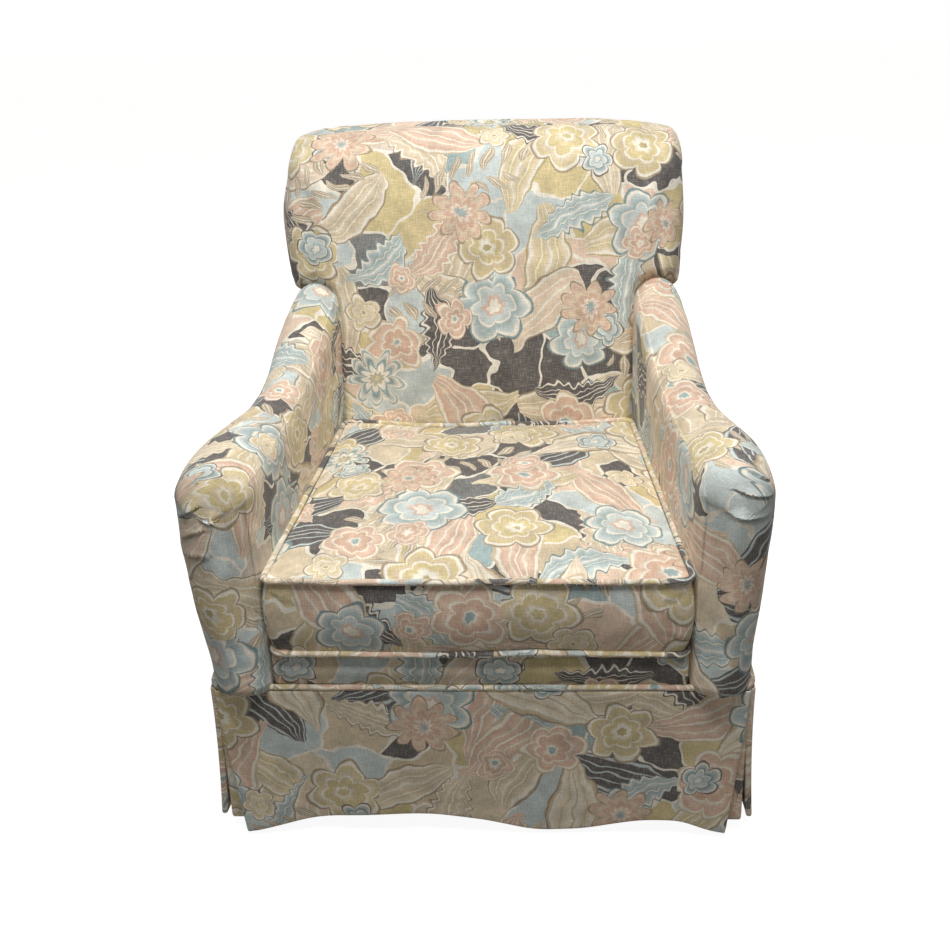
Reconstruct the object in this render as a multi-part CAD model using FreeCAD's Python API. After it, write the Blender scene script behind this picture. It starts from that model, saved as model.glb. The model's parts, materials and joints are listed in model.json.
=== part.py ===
import FreeCAD, Part
import math
import os

from FreeCAD import Vector

# A skirted, tight-back armchair on a concealed swivel glider. The origin is on the floor, on the
# swivel axis. +X is the sitter's left, +Y points to the chair's back, +Z is up. Millimetres, degrees.

# Overall form
overall_width = 800.0
skirt_depth = 696.0
skirt_top = 280.0
seat_draw_in = 46.0
outer_taper = 10.0
fit_gap = 1.0

# Arms
arm_front_overhang = 15.0
arm_nose_radius = 26.0
arm_front_width = 96.0
arm_waist_width = 72.0
arm_roll_length = 60.0
arm_waist_blend = 236.0
arm_height_front = 648.0
arm_height_dip = 634.0
arm_height_rear = 684.0
arm_level_length = 90.0
arm_dip_blend = 174.0
arm_rise_start = 313.0
arm_rise_blend = 292.0
arm_rear_margin = 50.0
arm_slices = 9
arm_pad_inner = 19.0
arm_panel_thickness = 8.0
arm_panel_front_margin = 62.0

# Back
back_rake = 13.5
back_thickness = 185.0
back_height = 630.0
back_overhang_level = 375.0
back_shoulder = 48.0
back_wing_bulge = 24.0
back_roll_height = 66.0
back_roll_front = 62.0
back_roll_side = 38.0
back_pad_thickness = 70.0
back_side_wall = 32.0
back_top_wall = 45.0
back_crown = 18.0
back_corner_radius = 45.0
back_rear_radius = 11.0
back_panel_thickness = 6.0
back_panel_inset = 5.0
back_foot_inset = 10.0

# Wooden frame
rail_thickness = 28.0
rail_bottom = 235.0
rail_height = 100.0
frame_inset_front = 18.0
frame_inset_side = 28.0
frame_inset_rear = 17.0
post_width = 38.0
post_depth = 42.0
arm_post_width = 60.0
arm_rail_width = 20.0
arm_rail_height = 40.0
arm_rail_gap = 13.0
top_rail_height = 60.0
lower_rail_height = 50.0
lower_rail_level = 110.0
corner_block_leg = 50.0
block_margin = 16.0
corner_block_height = 70.0
mechanism_rail_width = 60.0
mechanism_rail_height = 30.0
mechanism_rail_spacing = 220.0
batten_height = 30.0

# Springs, deck and linings
spring_wire = 4.0
spring_pitch = 24.0
spring_width = 44.0
seat_spring_count = 5
seat_spring_spacing = 100.0
back_spring_count = 4
back_spring_spacing = 118.0
clip_size = 16.0
clip_thickness = 3.0
deck_thickness = 15.0
border_thickness = 15.0
burlap_thickness = 1.5
dust_cover_thickness = 1.2

# Skirt and welts
skirt_cloth = 3.0
skirt_return = 60.0
skirt_fold_gap = 0.6
skirt_corner_gap = 12.0
pleat_leg = 75.0
hem_clearance = 6.0
hem_rise = 34.0
hem_margin = 5.0
pleat_lift = 20.0
welt_diameter = 8.0
welt_corner_radius = 18.0

# Seat cushion
cushion_gap_side = 1.5
cushion_front_setback = 2.0
cushion_gap_rear = 10.0
cushion_hollow_relief = 6.0
cushion_boxing = 124.0
cushion_crown = 18.0
cushion_crown_flat = 68.0
cushion_corner_radius = 28.0
cushion_front_bulge = 8.0
cushion_side_bulge = 2.0
cushion_cover = 12.0
cushion_foot = 7.0
cushion_welt_diameter = 9.0

# Swivel base and bearing
ring_radius = 240.0
ring_tube_radius = 11.0
floor_pad_width = 28.0
floor_pad_height = 6.0
floor_pad_seat = 2.0
cross_arm_width = 44.0
cross_thickness = 6.0
cross_seat = 1.0
hub_radius = 78.0
race_radius = 75.0
race_thickness = 4.0
ball_radius = 4.0
ball_count = 24
ball_circle_radius = 58.0
ball_play = 0.05
race_gap = 5.0
cage_width = 16.0
cage_thickness = 2.4
cage_play = 0.2
kingpin_radius = 8.0
kingpin_head_radius = 14.0
kingpin_head_height = 7.0
nut_room = 6.0
fastener_circle_radius = 42.0
running_play = 0.05
axial_play = 0.3

# Glide linkage
swivel_plate_width = 300.0
swivel_plate_length = 420.0
swivel_plate_thickness = 5.0
bracket_offset = 120.0
bracket_thickness = 4.0
bracket_flange = 36.0
link_length = 95.0
link_spacing = 180.0
link_thickness = 5.0
link_width = 28.0
link_play = 3.0
pivot_radius = 6.0
bush_wall = 3.0
bush_flange = 1.0
pin_head = 3.0
glide_angle = 33.0
lower_pivot_height = 80.0
carrier_thickness = 4.0
carrier_flange = 38.0
carrier_margin = 35.0
eye_margin = 15.0
bumper_length = 14.0
bumper_radius = 11.0
bumper_gap = 1.0
bolt_radius = 4.0
bolt_head_radius = 7.5
bolt_head_height = 5.0
wood_bolt_depth = 20.0

# How the hems hang, from one end of a panel to the other, as shares of the hem's rise
front_hem = (0.0, 0.45, 0.80, 0.98, 0.98, 0.70, 0.10, 0.15, 0.72, 0.70, 0.0)
back_hem = (0.0, 0.25, 0.35, 0.20, 0.30, 0.35, 0.20, 0.0)
side_hem = (0.0, 0.30, 0.35, 0.15, 0.30, 0.0)

# Values worked out from the driving dimensions
half_width = overall_width / 2
seat_width_front = overall_width - 2 * arm_front_width
seat_width_rear = seat_width_front - 2 * seat_draw_in
back_upper_width = overall_width - 2 * back_shoulder
front_y = -skirt_depth / 2
rear_y = skirt_depth / 2
body_bottom = skirt_top + welt_diameter + fit_gap / 2
rail_top = rail_bottom + rail_height
deck_top = rail_top + deck_thickness / 2
cushion_bottom = deck_top + fit_gap
frame_front = front_y + frame_inset_front
frame_rear = rear_y - frame_inset_rear
frame_outer = half_width - frame_inset_side
frame_inner = frame_outer - rail_thickness
arm_front = front_y - arm_front_overhang
arm_room_top = min(
    arm_height_front - arm_front_width / 2,
    min(arm_height_dip, arm_height_rear) - arm_waist_width / 2,
)
arm_rail_top = arm_room_top - arm_rail_gap
arm_panel_top = arm_rail_top - arm_rail_height
back_foot_y = rear_y - back_foot_inset
rake_sin = math.sin(math.radians(back_rake))
rake_cos = math.cos(math.radians(back_rake))
shell_depth = back_thickness - back_panel_thickness
frame_depth = back_pad_thickness + burlap_thickness + spring_wire
upper_half = back_upper_width / 2
lower_half = seat_width_rear / 2 - 4 * fit_gap
post_outer = upper_half - back_side_wall - 2 * fit_gap
post_inner = post_outer - post_width
ring_z = floor_pad_height + ring_tube_radius - floor_pad_seat
cross_bottom = ring_z + ring_tube_radius - cross_seat
race_bottom = cross_bottom + cross_thickness
ball_z = race_bottom + race_thickness + race_gap / 2
upper_race_bottom = race_bottom + race_thickness + race_gap
plate_bottom = upper_race_bottom + race_thickness
plate_top = plate_bottom + swivel_plate_thickness
upper_pivot_height = lower_pivot_height + link_length
link_inner = bracket_offset + bracket_thickness / 2 + link_play
link_outer = link_inner + link_thickness
carrier_inner = link_outer + link_play
carrier_outer = carrier_inner + carrier_thickness
bush_radius = pivot_radius + running_play + bush_wall
cushion_crown_slope = seat_width_rear / 2 - cushion_crown_flat
cushion_rear_hollow = back_crown - cushion_hollow_relief
cushion_welt_reach = 0.75 * cushion_welt_diameter
glide_travel = link_length * math.sin(math.radians(glide_angle))
carrier_half_length = link_spacing / 2 + carrier_margin


# Building blocks
def box(x0, x1, y0, y1, z0, z1):
    """A block between two corners."""
    return Part.makeBox(x1 - x0, y1 - y0, z1 - z0, Vector(x0, y0, z0))


def rod_x(radius, x0, x1, y, z):
    """A round bar along X."""
    return Part.makeCylinder(radius, x1 - x0, Vector(x0, y, z), Vector(1, 0, 0))


def rod_z(radius, x, y, z0, z1):
    """A round bar along Z."""
    return Part.makeCylinder(radius, z1 - z0, Vector(x, y, z0), Vector(0, 0, 1))


def mirrored(shape):
    """The same shape on the other side of the chair."""
    return shape.mirror(Vector(0, 0, 0), Vector(1, 0, 0))


def group(shapes):
    """Several separate solids in one node."""
    return Part.makeCompound([solid for shape in shapes for solid in shape.Solids])


def line(a, b):
    return Part.LineSegment(a, b).toShape()


def arc(a, middle, b):
    return Part.Arc(a, middle, b).toShape()


def prism(points, direction):
    """A straight-sided block from a closed outline of points."""
    return Part.Face(Part.makePolygon(points + points[:1])).extrude(direction)


def to_back(shape):
    """Leans a shape made upright (X across, Y through, Z up the back) to its place in the chair."""
    placed = shape.copy()
    placed.translate(Vector(0, -back_thickness, 0))
    placed.rotate(Vector(0, 0, 0), Vector(1, 0, 0), -back_rake)
    placed.translate(Vector(0, back_foot_y, body_bottom))
    return placed


def back_front(z):
    """How far back the inside back's face is at a height, without its crown."""
    return back_foot_y + (z - body_bottom) * rake_sin / rake_cos - back_thickness / rake_cos


def rounded_outline(front, rear, half_front, half_rear, radius, z, hollow=0.0):
    """A level four-sided outline with round corners, whose rear edge may be hollowed forwards."""
    corners = [
        Vector(-half_front, front, z),
        Vector(half_front, front, z),
        Vector(half_rear, rear, z),
        Vector(-half_rear, rear, z),
    ]
    lean = 2 * math.atan(hollow / half_rear)
    rear_left = Vector(-math.cos(lean), -math.sin(lean), 0)
    rear_right = Vector(math.cos(lean), -math.sin(lean), 0)
    starts, middles, ends = [], [], []
    for i, corner in enumerate(corners):
        before = rear_right if i == 3 else (corners[i - 1] - corner).normalize()
        after = rear_left if i == 2 else (corners[(i + 1) % 4] - corner).normalize()
        bisector = (before + after).normalize()
        half_angle = before.getAngle(after) / 2
        reach = radius / math.tan(half_angle)
        to_arc = radius / math.sin(half_angle) - radius
        starts.append(corner + before * reach)
        middles.append(corner + bisector * to_arc)
        ends.append(corner + after * reach)
    edges = []
    for i in range(4):
        edges.append(arc(starts[i], middles[i], ends[i]))
        if i == 2 and hollow > 0:
            depth = ends[2].x * math.tan(lean / 2)
            edges.append(arc(ends[2], Vector(0, ends[2].y - depth, z), starts[3]))
        else:
            edges.append(line(ends[i], starts[(i + 1) % 4]))
    return Part.Wire(edges)


def tube(path, radius):
    """A round cord along a closed or open wire."""
    edge = path.Edges[0]
    start = edge.valueAt(edge.FirstParameter)
    heading = edge.tangentAt(edge.FirstParameter)
    ring = Part.Wire([Part.Circle(start, heading, radius).toShape()])
    swept = Part.BRepOffsetAPI.MakePipeShell(path)
    swept.add(ring)
    swept.build()
    swept.makeSolid()
    return swept.shape()


# Swivel base: a floor ring, a steel ring and cross, and the lower half of the ball bearing
def floor_ring():
    outer = rod_z(ring_radius + floor_pad_width / 2, 0, 0, 0, floor_pad_height)
    inner = rod_z(ring_radius - floor_pad_width / 2, 0, 0, 0, floor_pad_height)
    return outer.cut(inner).cut(base_ring())


def base_ring():
    return Part.makeTorus(ring_radius, ring_tube_radius, Vector(0, 0, ring_z))


def base_cross():
    reach = ring_radius + ring_tube_radius / 2
    top = cross_bottom + cross_thickness
    along = box(-reach, reach, -cross_arm_width / 2, cross_arm_width / 2, cross_bottom, top)
    across = box(-cross_arm_width / 2, cross_arm_width / 2, -reach, reach, cross_bottom, top)
    hub = rod_z(hub_radius, 0, 0, cross_bottom, top)
    cross = along.fuse([across, hub]).removeSplitter()
    return cross.cut(base_ring()).cut(kingpin()).cut(base_bolts())


def ball_groove():
    return Part.makeTorus(ball_circle_radius, ball_radius + ball_play, Vector(0, 0, ball_z))


def lower_race():
    plate = rod_z(race_radius, 0, 0, race_bottom, race_bottom + race_thickness)
    return plate.cut(ball_groove()).cut(kingpin()).cut(base_bolts())


def bolt_circle(make):
    """Four of a fastener on the diagonals of the fasteners' circle."""
    reach = fastener_circle_radius * math.sin(math.pi / 4)
    return group([make(x, y) for x in (-reach, reach) for y in (-reach, reach)])


def bolt_down(x, y, seat, depth):
    """A bolt whose head sits on the level seat, with its shank going down by depth."""
    head = rod_z(bolt_head_radius, x, y, seat, seat + bolt_head_height)
    return head.fuse(rod_z(bolt_radius, x, y, seat - depth, seat)).removeSplitter()


def bolt_up(x, y, seat, depth):
    """A bolt whose head hangs under the level seat, with its shank going up by depth."""
    head = rod_z(bolt_head_radius, x, y, seat - bolt_head_height, seat)
    return head.fuse(rod_z(bolt_radius, x, y, seat, seat + depth)).removeSplitter()


def base_bolts():
    depth = cross_thickness + race_thickness
    return bolt_circle(lambda x, y: bolt_up(x, y, cross_bottom, depth))


def kingpin():
    head = rod_z(kingpin_head_radius, 0, 0, cross_bottom - kingpin_head_height, cross_bottom)
    top = plate_bottom + axial_play + kingpin_head_height
    return head.fuse(rod_z(kingpin_radius, 0, 0, cross_bottom, top)).removeSplitter()


def kingpin_nut():
    low = plate_bottom + axial_play
    corners = []
    for i in range(6):
        angle = math.pi * i / 3
        corners.append(Vector(math.cos(angle), math.sin(angle), 0) * kingpin_head_radius + Vector(0, 0, low))
    return prism(corners, Vector(0, 0, kingpin_head_height)).cut(kingpin())


def bearing_balls():
    balls = []
    for i in range(ball_count):
        angle = 2 * math.pi * i / ball_count
        centre = Vector(math.cos(angle), math.sin(angle), 0) * ball_circle_radius + Vector(0, 0, ball_z)
        balls.append(Part.makeSphere(ball_radius, centre))
    return group(balls)


def ball_cage():
    low, high = ball_z - cage_thickness / 2, ball_z + cage_thickness / 2
    ring = rod_z(ball_circle_radius + cage_width / 2, 0, 0, low, high)
    ring = ring.cut(rod_z(ball_circle_radius - cage_width / 2, 0, 0, low, high))
    pockets = []
    for i in range(ball_count):
        angle = 2 * math.pi * i / ball_count
        x, y = ball_circle_radius * math.cos(angle), ball_circle_radius * math.sin(angle)
        pockets.append(rod_z(ball_radius + cage_play, x, y, low, high))
    return ring.cut(pockets)


# Swivel carriage: upper race, plate, the brackets that hold the links, and the glide stops
def upper_race():
    plate = rod_z(race_radius, 0, 0, upper_race_bottom, plate_bottom)
    hole = rod_z(kingpin_radius + running_play, 0, 0, upper_race_bottom, plate_bottom)
    return plate.cut(ball_groove()).cut(hole).cut(swivel_bolts())


def swivel_bolts():
    depth = swivel_plate_thickness + race_thickness
    return bolt_circle(lambda x, y: bolt_down(x, y, plate_top, depth))


def swivel_plate():
    plate = box(
        -swivel_plate_width / 2, swivel_plate_width / 2,
        -swivel_plate_length / 2, swivel_plate_length / 2, plate_bottom, plate_top,
    )
    nut_hole = rod_z(kingpin_head_radius + nut_room, 0, 0, plate_bottom, plate_top)
    return plate.cut(nut_hole).cut(swivel_bolts()).cut(bracket_bolts())


def bracket_bolts():
    x = bracket_offset - bracket_thickness / 2 - bracket_flange / 2
    depth = swivel_plate_thickness + bracket_thickness
    places = [(side * x, end * link_spacing / 2) for side in (-1, 1) for end in (-1, 1)]
    return group([bolt_down(x, y, plate_top + bracket_thickness, depth) for x, y in places])


def glide_bracket():
    """The left-hand bracket: a flange on the plate and a web that carries the two upper pivots."""
    inner = bracket_offset - bracket_thickness / 2
    outer = bracket_offset + bracket_thickness / 2
    foot = link_spacing / 2 + link_width
    head = link_spacing / 2 + eye_margin
    top = upper_pivot_height + eye_margin
    outline = [
        Vector(inner, -foot, plate_top),
        Vector(inner, foot, plate_top),
        Vector(inner, head, top),
        Vector(inner, -head, top),
    ]
    web = prism(outline, Vector(bracket_thickness, 0, 0))
    flange = box(inner - bracket_flange, outer, -foot, foot, plate_top, plate_top + bracket_thickness)
    bracket = web.fuse(flange).removeSplitter()
    return bracket.cut(pins_at(upper_pivot_height, upper_pin)).cut(bracket_bolts())


def upper_pin(y, z):
    """Its head is inside the bracket and its tail ends flush with the link's bush flange."""
    inner = bracket_offset - bracket_thickness / 2
    head = rod_x(pivot_radius + pin_head, inner - pin_head, inner, y, z)
    return head.fuse(rod_x(pivot_radius, inner, link_outer + bush_flange, y, z)).removeSplitter()


def lower_pin(y, z):
    """Its head is outside the carrier and its tail ends flush with the link's bush flange."""
    head = rod_x(pivot_radius + pin_head, carrier_outer, carrier_outer + pin_head, y, z)
    return head.fuse(rod_x(pivot_radius, link_inner - bush_flange, carrier_outer, y, z)).removeSplitter()


def pins_at(z, make_pin):
    """The front and rear pin of the left side."""
    return group([make_pin(end * link_spacing / 2, z) for end in (-1, 1)])


def both_sides(shape):
    return group([shape, mirrored(shape)])


def glide_bumpers():
    """Rubber stops on posts at the plate's ends, one ahead of and one behind each carrier."""
    stops = []
    x = (carrier_inner + carrier_outer) / 2
    face = carrier_half_length + glide_travel + bumper_gap
    top = lower_pivot_height + bumper_radius
    for end in (-1, 1):
        near, far = sorted((end * face, end * (face + bumper_length)))
        stops.append(box(x - bumper_radius, x + bumper_radius, near, far, plate_top, top))
    return both_sides(group(stops))


# Four swinging links with nylon bushes
def swing_link(y):
    """A flat link of the left side, hanging straight down, with an eye at each end."""
    half = link_width / 2
    bar = box(link_inner, link_outer, y - half, y + half, lower_pivot_height, upper_pivot_height)
    heights = (lower_pivot_height, upper_pivot_height)
    eyes = [rod_x(half, link_inner, link_outer, y, z) for z in heights]
    bores = [rod_x(bush_radius, link_inner, link_outer, y, z) for z in heights]
    return bar.fuse(eyes).removeSplitter().cut(bores)


def link_bushes(y):
    """Flanged bushes for both eyes of one link."""
    bushes = []
    for z in (lower_pivot_height, upper_pivot_height):
        sleeve = rod_x(bush_radius, link_inner, link_outer, y, z)
        flanges = [
            rod_x(bush_radius + bush_wall, link_inner - bush_flange, link_inner, y, z),
            rod_x(bush_radius + bush_wall, link_outer, link_outer + bush_flange, y, z),
        ]
        bore = rod_x(pivot_radius + running_play, link_inner - bush_flange, link_outer + bush_flange, y, z)
        bushes.append(sleeve.fuse(flanges).removeSplitter().cut(bore))
    return group(bushes)


# Carriers that hang from the seat frame and ride on the links
def carrier():
    """The left-hand carrier: a web that holds the two lower pivots and a flange under the cross rails."""
    half = carrier_half_length
    web = box(carrier_inner, carrier_outer, -half, half, lower_pivot_height - eye_margin, rail_bottom)
    reach = mechanism_rail_spacing / 2 + mechanism_rail_width / 2
    low = rail_bottom - carrier_thickness
    flange = box(carrier_inner, carrier_outer + carrier_flange, -reach, reach, low, rail_bottom)
    return web.fuse(flange).removeSplitter().cut(pins_at(lower_pivot_height, lower_pin)).cut(carrier_bolts())


def carrier_bolts():
    x = carrier_outer + carrier_flange / 2
    seat = rail_bottom - carrier_thickness
    places = [(side * x, end * mechanism_rail_spacing / 2) for side in (-1, 1) for end in (-1, 1)]
    return group([bolt_up(x, y, seat, carrier_thickness + wood_bolt_depth) for x, y in places])


# Wooden frame
def front_rail():
    return box(-frame_inner, frame_inner, frame_front, frame_front + rail_thickness, rail_bottom, rail_top)


def rear_rail():
    return box(-frame_inner, frame_inner, frame_rear - rail_thickness, frame_rear, rail_bottom, rail_top)


def side_rail():
    return box(frame_inner, frame_outer, frame_front, frame_rear, rail_bottom, rail_top)


def mechanism_rail(end):
    y = end * mechanism_rail_spacing / 2
    half = mechanism_rail_width / 2
    high = rail_bottom + mechanism_rail_height
    rail = box(-frame_inner, frame_inner, y - half, y + half, rail_bottom, high)
    return rail.cut(carrier_bolts())


def corner_blocks():
    """Three-cornered blocks glued into the corners of the seat frame."""
    blocks = []
    low = rail_bottom + mechanism_rail_height / 2
    for y, inward in ((frame_front + rail_thickness, 1), (frame_rear - rail_thickness, -1)):
        corner = Vector(frame_inner, y, low)
        across = corner - Vector(corner_block_leg, 0, 0)
        along = corner + Vector(0, inward * corner_block_leg, 0)
        blocks.append(prism([corner, across, along], Vector(0, 0, corner_block_height)))
    return both_sides(group(blocks))


def back_post_at(room):
    """A raked post from beside the seat frame up to the top rail, grown all round by some room."""
    low = -(body_bottom - rail_bottom) / rake_cos - post_depth
    high = back_height - back_top_wall - top_rail_height
    front, rear = frame_depth - room, frame_depth + post_depth + room
    return to_back(box(post_inner - room, post_outer + room, front, rear, low, high + room))


def back_post():
    return back_post_at(0.0).cut(box(0, half_width, front_y, 2 * rear_y, 0, rail_bottom))


def post_block():
    """Fills the room between a back post and the side rail that carries it."""
    middle = back_front((rail_bottom + rail_top) / 2) + (frame_depth + post_depth / 2) / rake_cos
    half = post_depth / 2
    low, high = rail_bottom + block_margin, rail_top - block_margin
    return box(post_outer, frame_inner, middle - half, middle + half, low, high)


def back_top_rail():
    low = back_height - back_top_wall - top_rail_height
    rear = frame_depth + post_depth
    return to_back(box(-post_outer, post_outer, frame_depth, rear, low, low + top_rail_height))


def back_lower_rail():
    rear = frame_depth + rail_thickness
    high = lower_rail_level + lower_rail_height
    return to_back(box(-post_inner, post_inner, frame_depth, rear, lower_rail_level, high))


def arm_post():
    x0, y0 = frame_inner, frame_front
    return box(x0, frame_outer, y0, y0 + arm_post_width, rail_top, arm_rail_top)


def arm_rail():
    """Runs back from the arm post, drawing in as the arm narrows, and butts on the back post."""
    front = frame_front + arm_post_width
    half = arm_rail_width / 2
    low = arm_rail_top - arm_rail_height
    front_x, rear_x = arm_room_middle(front), arm_room_middle(rear_y)
    outline = [
        Vector(front_x - half, front, low),
        Vector(front_x + half, front, low),
        Vector(rear_x + half, rear_y, low),
        Vector(rear_x - half, rear_y, low),
    ]
    rail = prism(outline, Vector(0, 0, arm_rail_height))
    rear = frame_depth + overall_width
    behind = to_back(box(0, overall_width, frame_depth, rear, -overall_width, overall_width))
    return rail.cut(behind)


def skirt_battens():
    """Strips that bring the frame out to the skirt on each side."""
    low, high = skirt_top - batten_height, skirt_top
    fold = 2 * skirt_cloth + skirt_fold_gap
    front = box(-frame_outer, frame_outer, front_y + fold, frame_front, low, high)
    rear = box(-frame_outer, frame_outer, frame_rear, rear_y - fold, low, high)
    side = box(frame_outer, half_width - fold, frame_front, frame_rear, low, high)
    return group([front, rear, side, mirrored(side)])


# Springs, deck and linings
def zigzag(length, x, z):
    """A flat sinuous spring along Y from 0, centred on x: rungs joined by half turns, in one bent wire."""
    turns = int(length // spring_pitch)
    pitch = length / turns
    radius = pitch / 2
    reach = spring_width / 2 - radius
    edges = []
    side = 1
    for i in range(turns + 1):
        y = i * pitch
        end = Vector(x + side * reach, y, z)
        edges.append(line(Vector(x - side * reach, y, z), end))
        if i < turns:
            outermost = Vector(x + side * (reach + radius), y + radius, z)
            edges.append(arc(end, outermost, Vector(end.x, y + pitch, z)))
        side = -side
    return tube(Part.Wire(edges), spring_wire / 2)


def spread(count, spacing):
    """Evenly spaced places about the middle."""
    return [(i - (count - 1) / 2) * spacing for i in range(count)]


def seat_spring_level():
    return deck_top - deck_thickness - spring_wire / 2 - fit_gap / 4


def seat_springs():
    reach = rail_thickness + clip_thickness + spring_wire / 2
    start = frame_front + reach
    length = frame_rear - reach - start
    springs = []
    for x in spread(seat_spring_count, seat_spring_spacing):
        spring = zigzag(length, x, seat_spring_level())
        spring.translate(Vector(0, start, 0))
        springs.append(spring)
    return group(springs)


def spring_clips():
    """Small plates on the inner faces of the rails that the seat springs end on."""
    half = clip_size / 2
    z = seat_spring_level()
    front = frame_front + rail_thickness
    rear = frame_rear - rail_thickness
    clips = []
    for x in spread(seat_spring_count, seat_spring_spacing):
        clips.append(box(x - half, x + half, front, front + clip_thickness, z - half, z + spring_wire / 2))
        clips.append(box(x - half, x + half, rear - clip_thickness, rear, z - half, z + spring_wire / 2))
    return group(clips)


def back_springs():
    low = lower_rail_level + lower_rail_height / 2
    high = back_height - back_top_wall - top_rail_height / 2
    springs = []
    for x in spread(back_spring_count, back_spring_spacing):
        spring = zigzag(high - low, x, 0)
        spring.rotate(Vector(0, 0, 0), Vector(1, 0, 0), 90)
        spring.translate(Vector(0, back_pad_thickness + burlap_thickness + spring_wire / 2, low))
        springs.append(to_back(spring))
    return group(springs)


def back_burlap():
    high = back_height - back_top_wall - fit_gap
    rear = back_pad_thickness + burlap_thickness
    return to_back(box(-lower_half, lower_half, back_pad_thickness, rear, lower_rail_level, high))


def deck_edge(y):
    """Half the deck's width: the room between the arms at that depth."""
    return arm_inner(y) - 3 * fit_gap


def seat_deck():
    """The padded platform under the cushion, as wide as the room between the arms."""
    front = frame_front + rail_thickness + fit_gap
    rear = back_foot_y - (back_thickness - back_pad_thickness) / rake_cos
    low = deck_top - deck_thickness
    outline = [
        Vector(-deck_edge(front), front, low),
        Vector(deck_edge(front), front, low),
        Vector(deck_edge(rear), rear, low),
        Vector(-deck_edge(rear), rear, low),
    ]
    return prism(outline, Vector(0, 0, deck_thickness))


def front_border():
    """The upholstered band over the front rail, between the arm fronts."""
    outer = frame_front - border_thickness
    inner = frame_front + rail_thickness
    half = arm_inner(inner) - fit_gap
    soft = border_thickness * 0.6
    bend = soft * (1 - math.sin(math.pi / 4))

    def at(y, z):
        return Vector(-half, y, z)

    edges = [
        line(at(frame_front, body_bottom), at(outer, body_bottom)),
        line(at(outer, body_bottom), at(outer, deck_top - soft)),
        arc(at(outer, deck_top - soft), at(outer + bend, deck_top - bend), at(outer + soft, deck_top)),
        line(at(outer + soft, deck_top), at(inner, deck_top)),
        line(at(inner, deck_top), at(inner, rail_top)),
        line(at(inner, rail_top), at(frame_front, rail_top)),
        line(at(frame_front, rail_top), at(frame_front, body_bottom)),
    ]
    return Part.Face(Part.Wire(edges)).extrude(Vector(2 * half, 0, 0))


def dust_cover():
    """Thin cloth under the frame, cut away round the carriers."""
    low = rail_bottom - dust_cover_thickness
    sheet = box(-frame_outer, frame_outer, frame_front, frame_rear, low, rail_bottom)
    room = 2 * fit_gap
    reach = max(carrier_half_length, (mechanism_rail_spacing + mechanism_rail_width) / 2) + room
    outer = carrier_outer + carrier_flange + room
    hole = box(carrier_inner - room, outer, -reach, reach, low, rail_bottom)
    return sheet.cut([hole, mirrored(hole)])


# Arms: a padded shell over the frame, and a flat outer panel
def arm_inner(y):
    """The inner face of the left arm, which draws in until it meets the back."""
    share = (y - front_y) / (back_front(arm_panel_top) - front_y)
    return seat_width_front / 2 - seat_draw_in * min(max(share, 0.0), 1.0)


def ease(share):
    """A smooth step from 0 to 1."""
    t = min(max(share, 0.0), 1.0)
    return t * t * (3 - 2 * t)


def arm_outer(y):
    """The outer edge of the arm's roll: full width at the front, waisted behind it."""
    share = ease((y - front_y - arm_roll_length) / arm_waist_blend)
    waist = arm_inner(y) + arm_waist_width
    return half_width + (waist - half_width) * share


def arm_crest(y):
    """The height of the arm's top: level at the front, a dip, then a rise to the back."""
    dip = ease((y - front_y - arm_level_length) / arm_dip_blend)
    rise = ease((y - front_y - arm_rise_start) / arm_rise_blend)
    top = arm_height_front + (arm_height_dip - arm_height_front) * dip
    return top + (arm_height_rear - arm_height_dip) * rise


def arm_section(y, inset):
    """An upright slice across the left arm: inner face, half-round top and outer face."""
    inner = arm_inner(y) + inset
    outer = arm_outer(y) - inset
    foot = half_width - outer_taper - inset
    crest = arm_crest(y) - inset
    radius = (outer - inner) / 2
    bend = radius * (1 - math.sin(math.pi / 4))
    spring = crest - radius
    bottom = body_bottom
    middle = inner + radius
    return Part.Wire([
        line(Vector(inner, y, bottom), Vector(inner, y, spring)),
        arc(Vector(inner, y, spring), Vector(inner + bend, y, crest - bend), Vector(middle, y, crest)),
        arc(Vector(middle, y, crest), Vector(outer - bend, y, crest - bend), Vector(outer, y, spring)),
        line(Vector(outer, y, spring), Vector(foot, y, bottom)),
        line(Vector(foot, y, bottom), Vector(inner, y, bottom)),
    ])


def arm_room_middle(y):
    """The middle of the room inside the arm, across the chair, at the height of its top rail."""
    return (arm_inner(y) + arm_pad_inner + arm_outer(y) - arm_panel_thickness) / 2


def arm_cavity_section(y):
    """The room inside the arm for its frame, open at the bottom."""
    inner, outer, crest = arm_inner(y), arm_outer(y), arm_crest(y)
    top = crest - (outer - inner) / 2 - 2 * fit_gap
    low = body_bottom - 5 * fit_gap
    x0 = inner + arm_pad_inner
    return Part.makePolygon([
        Vector(x0, y, low),
        Vector(x0, y, top),
        Vector(outer - arm_panel_thickness, y, top),
        Vector(half_width - outer_taper - arm_panel_thickness, y, low),
        Vector(x0, y, low),
    ])


def arm_stations():
    """Places along the arm, from behind its nose to past the back."""
    first = arm_front + arm_nose_radius
    last = back_foot_y + back_overhang_level * rake_sin + arm_rear_margin
    return [first + (last - first) * i / (arm_slices - 1) for i in range(arm_slices)]


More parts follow.
